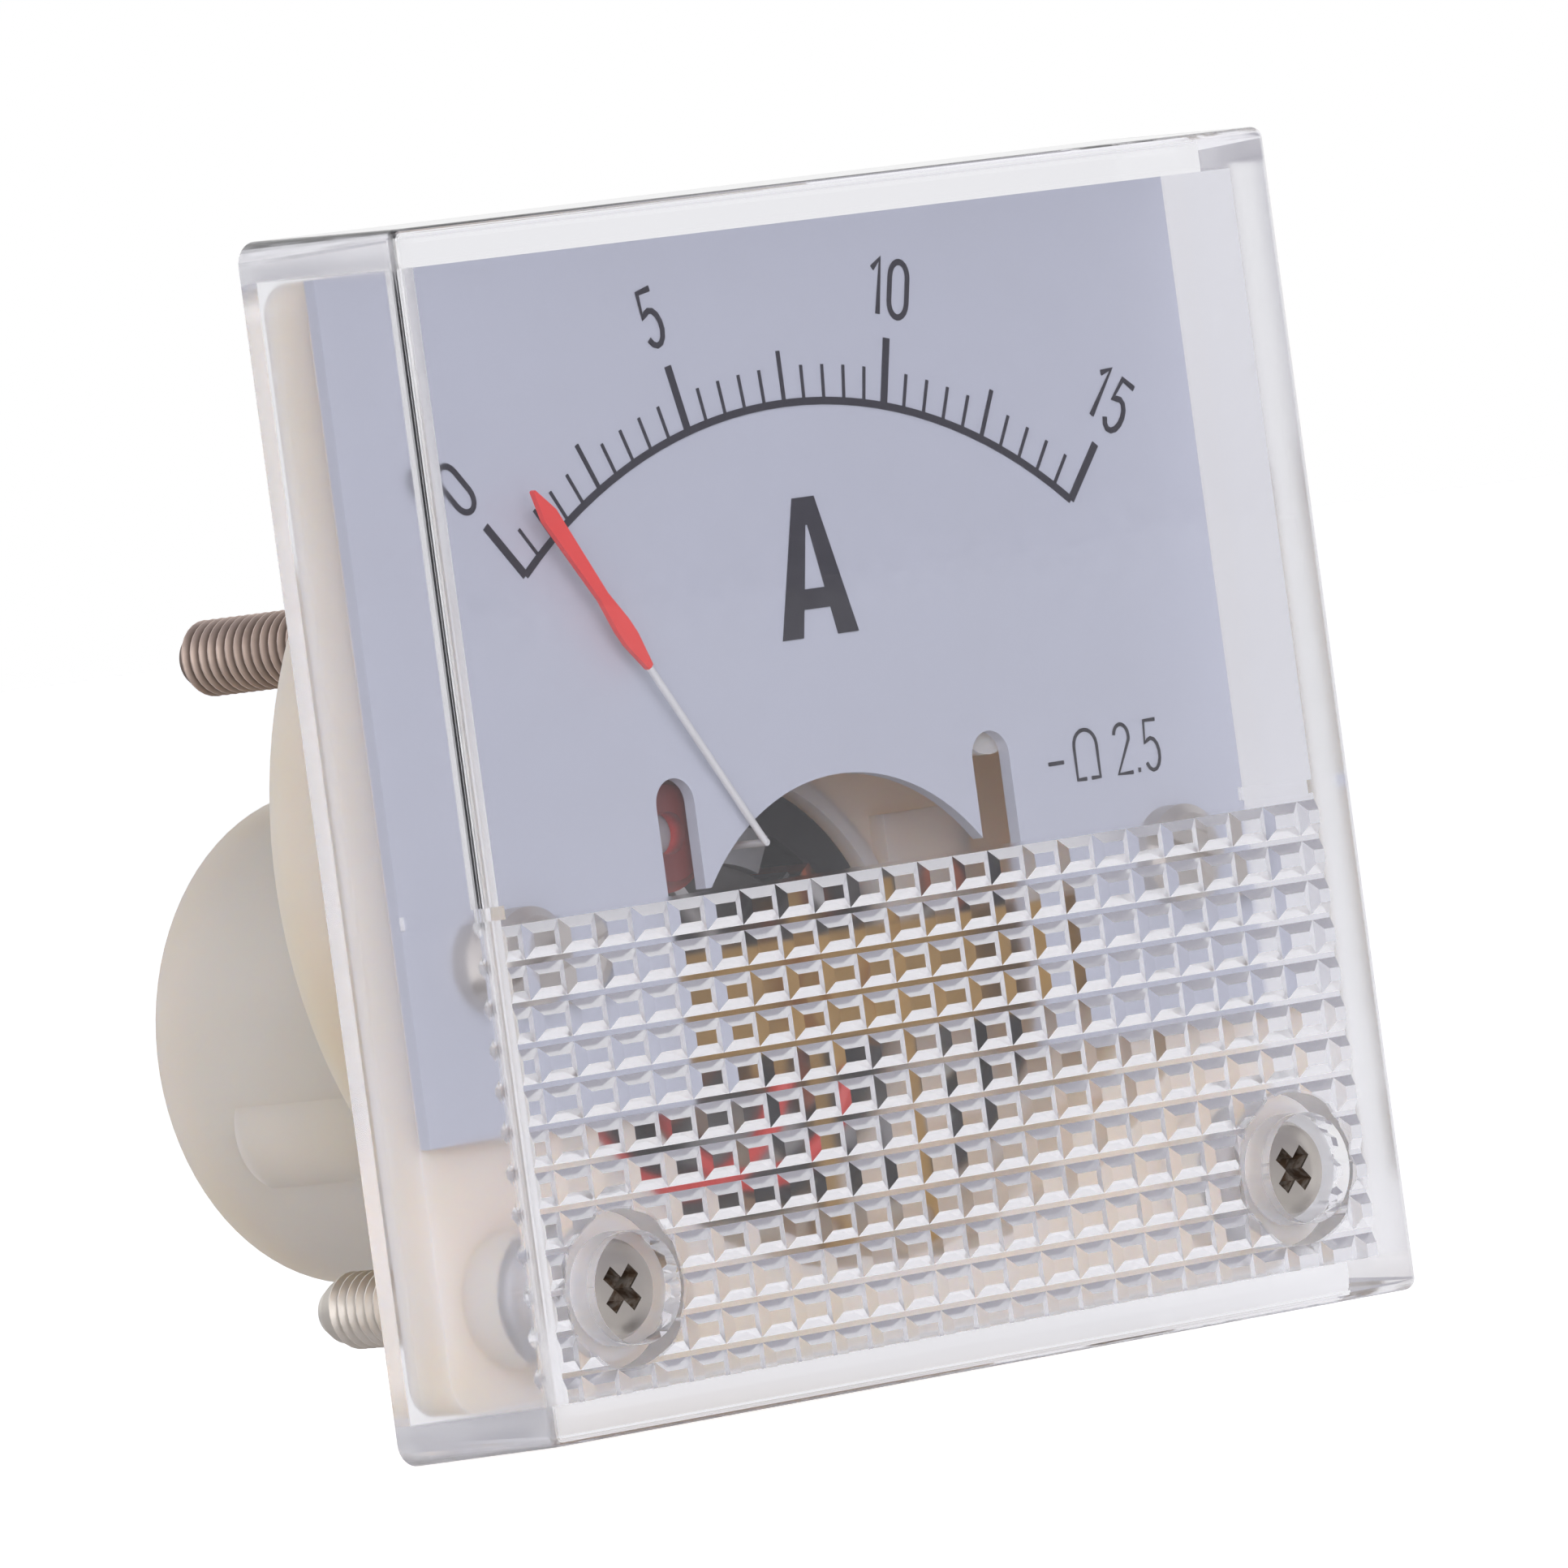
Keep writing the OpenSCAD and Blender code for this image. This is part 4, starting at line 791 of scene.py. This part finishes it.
class METER_OT_terminals(bpy.types.Operator):
    """Model the threaded terminal studs and finish the tags and the shunt"""
    bl_idname = "meter.terminals"
    bl_label = "Terminals"

    def execute(self, context):
        sizes, colours = context.scene.meter_sizes, context.scene.meter_colours
        low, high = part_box("terminal_stud_left")
        head_r = (high.x - low.x) / 2
        front, tip = low.y, high.y
        centre = (low + high) / 2
        root = THREAD_CREST - sizes.thread_depth
        core = turned("stud_core", [
            (head_r - 0.4 * MM, front), (head_r, front + 0.4 * MM), (head_r, front + STUD_HEAD),
            (STUD_SHANK, front + STUD_HEAD), (STUD_SHANK, STUD_FREE), (root, STUD_FREE + 0.1 * MM),
            (root, tip - sizes.thread_end), (0.86 * root, tip - 0.35 * MM), (0.66 * root, tip - 0.1 * MM),
            (0.4 * root, tip)])
        ridge = thread_ridge("stud_thread", root, THREAD_CREST, sizes.thread_pitch,
                             STUD_FREE + 0.1 * MM, tip - 0.35 * MM)
        stud = joined([core, ridge], "terminal_stud")
        material = stud_steel(colours, abs(centre.x), centre.z)
        for side, x in (("left", -abs(centre.x)), ("right", abs(centre.x))):
            copy = placed_copy(stud, "threaded_stud_" + side, x, centre.z)
            dress(copy, material)
            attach(copy, "case")
            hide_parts("terminal_stud_" + side)
        bpy.data.objects.remove(stud)
        tin = bare_metal("tinned_brass", colours.tin, 0.35)
        for side in ("left", "right"):
            finish_node("solder_tag_" + side, tin)
        finish_node("shunt_strip", bare_metal("manganin", colours.manganin, 0.35))
        return {"FINISHED"}


class METER_OT_movement(bpy.types.Operator):
    """Finish the yoke, magnet, bridges, coil, springs and jewels"""
    bl_idname = "meter.movement"
    bl_label = "Movement"

    def execute(self, context):
        colours = context.scene.meter_colours
        brass = bare_metal("turned_brass", colours.brass, 0.3)
        steel = bare_metal("polished_steel", colours.zinc, 0.2)
        screws = plated_steel(colours)
        aluminium = bare_metal("cast_aluminium", colours.aluminium, 0.4)
        tin = bare_metal("solder", colours.tin, 0.3)
        bronze = bare_metal("phosphor_bronze", colours.bronze, 0.3)
        ruby = cut_ruby(colours)
        finishes = {
            "yoke_ring": bare_metal("soft_iron", colours.iron, 0.45, 0.8, 0.6),
            "core_magnet": bare_metal("ground_magnet", colours.magnet, 0.4, 0.4, 0.7),
            "rear_bridge": aluminium, "coil_former": aluminium,
            # The copper turns get the screw recesses' dark brown as painted shade in their grooves
            "moving_coil": wound_wire("enamelled_copper", colours.copper, colours.hollow_shade,
                                      wire_mm=0.12, axis="X", metallic=0.9, roughness=0.35),
            "series_resistor": wound_wire("lacquered_winding", colours.lacquer, colours.lacquer_dark,
                                          wire_mm=0.3, axis="Y", metallic=0.0, roughness=0.4),
            "dial_screw_left": screws, "dial_screw_right": screws,
            "bridge_screw_left": screws, "bridge_screw_right": screws,
            "front_pivot": steel, "rear_pivot": steel, "front_jewel": ruby, "rear_jewel": ruby,
            "front_hairspring": bronze, "rear_hairspring": bronze,
            "balance_weight_tail": tin, "balance_weight_left": tin, "balance_weight_right": tin,
            "pointer": pointer_paint(colours),
        }
        for name in ("front_bridge", "zero_lever", "front_staff", "rear_staff", "balance_cross",
                     "front_jewel_screw", "rear_jewel_screw", "front_lock_nut", "rear_lock_nut"):
            finishes[name] = brass
        for name, material in finishes.items():
            finish_node(name, material)
        return {"FINISHED"}


class METER_OT_leads(bpy.types.Operator):
    """Finish the insulated leads"""
    bl_idname = "meter.leads"
    bl_label = "Leads"

    def execute(self, context):
        colours = context.scene.meter_colours
        red, black = pvc("red_pvc", colours.red_pvc), pvc("black_pvc", colours.black_pvc)
        for name, material in (("red_lead", red), ("link_lead", red), ("black_lead", black)):
            finish_node(name, material)
        return {"FINISHED"}


def paper_floor(colour):
    """White backdrop paper: matt, faintly mottled, and it keeps shadows. It is lifted to white where it
    is seen, and a little less where it is seen in gloss or through the clear cover."""
    material, tree, coords = new_material("paper_floor")
    fibres = add(tree, "TexNoise", {"Vector": coords, "Scale": per_mm(40), "Detail": 2.0})
    tooth = add(tree, "MapRange", {"Value": fibres, "From Min": 0.3, "From Max": 0.7,
                                   "To Min": 0.55, "To Max": 0.65})
    paper = add(tree, "BsdfPrincipled", {"Base Color": colour, "Roughness": tooth,
                                         "Specular IOR Level": 0.1})
    path = add(tree, "LightPath")
    level = 0.0
    for ray, lifted in (("Is Camera Ray", FLOOR_LIFT), ("Is Transmission Ray", FLOOR_THROUGH),
                        ("Is Glossy Ray", FLOOR_MIRRORED)):
        share = add(tree, "Math", {0: path.outputs[ray], 1: lifted}, operation="MULTIPLY")
        level = add(tree, "Math", {0: share, 1: level}, operation="MAXIMUM")
    lift = add(tree, "Emission", {"Color": (1, 1, 1, 1), "Strength": level})
    both = add(tree, "AddShader", {0: paper, 1: lift})
    add(tree, "OutputMaterial", {"Surface": both})
    return material


def softbox(name, place, target, size, watts):
    """A square area lamp that faces a point."""
    bpy.ops.object.light_add(type="AREA", location=place)
    lamp = bpy.context.object
    lamp.name = lamp.data.name = name
    lamp.data.shape = "SQUARE"
    lamp.data.size = size
    lamp.data.energy = watts
    # Clear walls pass its light on, and don't show it as a white patch
    lamp.visible_transmission = False
    lamp.rotation_euler = (Vector(target) - Vector(place)).to_track_quat("-Z", "Y").to_euler()
    return lamp


class METER_OT_stage(bpy.types.Operator):
    """Set the camera, the floor, the lamps and the world"""
    bl_idname = "meter.stage"
    bl_label = "Stage"

    def execute(self, context):
        sizes, colours = context.scene.meter_sizes, context.scene.meter_colours
        bpy.ops.object.camera_add()
        camera = context.object
        camera.name = camera.data.name = "reader_camera"
        camera.data.sensor_width = SENSOR_WIDTH
        camera.data.lens = CAMERA_LENS
        camera.data.clip_start = 0.05
        azimuth, elevation, roll = map(math.radians, (CAMERA_AZIMUTH, CAMERA_ELEVATION, CAMERA_ROLL))
        look = Vector((math.sin(azimuth) * math.cos(elevation),
                       math.cos(azimuth) * math.cos(elevation), -math.sin(elevation)))
        side = look.cross(Vector((0, 0, 1))).normalized()
        top = side.cross(look)
        right = side * math.cos(roll) + top * math.sin(roll)
        up = top * math.cos(roll) - side * math.sin(roll)
        turn = Matrix((right, up, -look)).transposed().to_4x4()
        camera.matrix_world = Matrix.Translation(CAMERA_PLACE) @ turn
        context.scene.camera = camera
        # Floor
        bpy.ops.object.select_all(action="DESELECT")
        bpy.ops.mesh.primitive_plane_add(size=6, location=(0, 0, cad_box[0][2] - sizes.floor_drop))
        floor = added("studio_floor")
        dress(floor, paper_floor(colours.floor))
        # Lamps
        for name, place, size, watts in LAMPS:
            softbox(name, place, (0, 0, 0), size, watts)
        # World: a white backdrop behind the meter for the camera, and a greyer room round it that
        # lights it and that gloss and clear walls pick up
        world = bpy.data.worlds.new("studio_world")
        context.scene.world = world
        world.use_nodes = True
        tree = world.node_tree
        tree.nodes.clear()
        heading = add(tree, "TexCoord").outputs["Generated"]
        ahead = add(tree, "VectorMath", {0: heading, 1: AHEAD}, operation="DOT_PRODUCT")
        behind = add(tree, "MapRange", {"Value": ahead.outputs["Value"],
                                        "From Min": 0.2, "From Max": 0.7})
        path = add(tree, "LightPath")
        seen = path.outputs["Is Camera Ray"]
        white = add(tree, "Math", {0: behind, 1: seen}, operation="MAXIMUM")
        room = add(tree, "Mix", {0: white, 6: colours.room, 7: (1, 1, 1, 1)}, data_type="RGBA")
        beyond = add(tree, "Math", {0: path.outputs["Is Glossy Ray"],
                                    1: path.outputs["Is Transmission Ray"]}, operation="MAXIMUM")
        faint = add(tree, "MapRange", {"Value": beyond, "To Min": ROOM_LIGHT, "To Max": ROOM_SEEN})
        level = add(tree, "Math", {0: faint, 1: seen}, operation="MAXIMUM")
        sky = add(tree, "Background", {"Color": room.outputs[2], "Strength": level})
        add(tree, "OutputWorld", {"Surface": sky})
        cycles = context.scene.cycles
        cycles.max_bounces = cycles.glossy_bounces = cycles.transmission_bounces = LIGHT_BOUNCES
        context.scene.view_settings.view_transform = "Standard"
        return {"FINISHED"}


STEPS = (METER_OT_stage, METER_OT_base, METER_OT_dial, METER_OT_cover_screws, METER_OT_terminals,
         METER_OT_movement, METER_OT_leads, METER_OT_cover)


class METER_PT_panel(bpy.types.Panel):
    """Sizes, colours and the steps that build the meter"""
    bl_idname = "METER_PT_panel"
    bl_label = "Panel ammeter"
    bl_space_type = "VIEW_3D"
    bl_region_type = "UI"
    bl_category = "Meter"

    def draw(self, context):
        for step in STEPS:
            self.layout.operator(step.bl_idname)
        for group in (context.scene.meter_sizes, context.scene.meter_colours):
            box = self.layout.box()
            for key in group.bl_rna.properties.keys():
                if key not in ("rna_type", "name"):
                    box.prop(group, key)


CLASSES = (MeterSizes, MeterColours) + STEPS + (METER_PT_panel,)


def register():
    for item in CLASSES:
        bpy.utils.register_class(item)
    bpy.types.Scene.meter_sizes = PointerProperty(type=MeterSizes)
    bpy.types.Scene.meter_colours = PointerProperty(type=MeterColours)


def unregister():
    del bpy.types.Scene.meter_colours
    del bpy.types.Scene.meter_sizes
    for item in reversed(CLASSES):
        bpy.utils.unregister_class(item)


def main():
    register()
    bpy.ops.meter.stage()
    bpy.ops.meter.base()
    bpy.ops.meter.dial()
    bpy.ops.meter.cover_screws()
    bpy.ops.meter.terminals()
    bpy.ops.meter.movement()
    bpy.ops.meter.leads()
    bpy.ops.meter.cover()


if __name__ == "__main__":
    main()
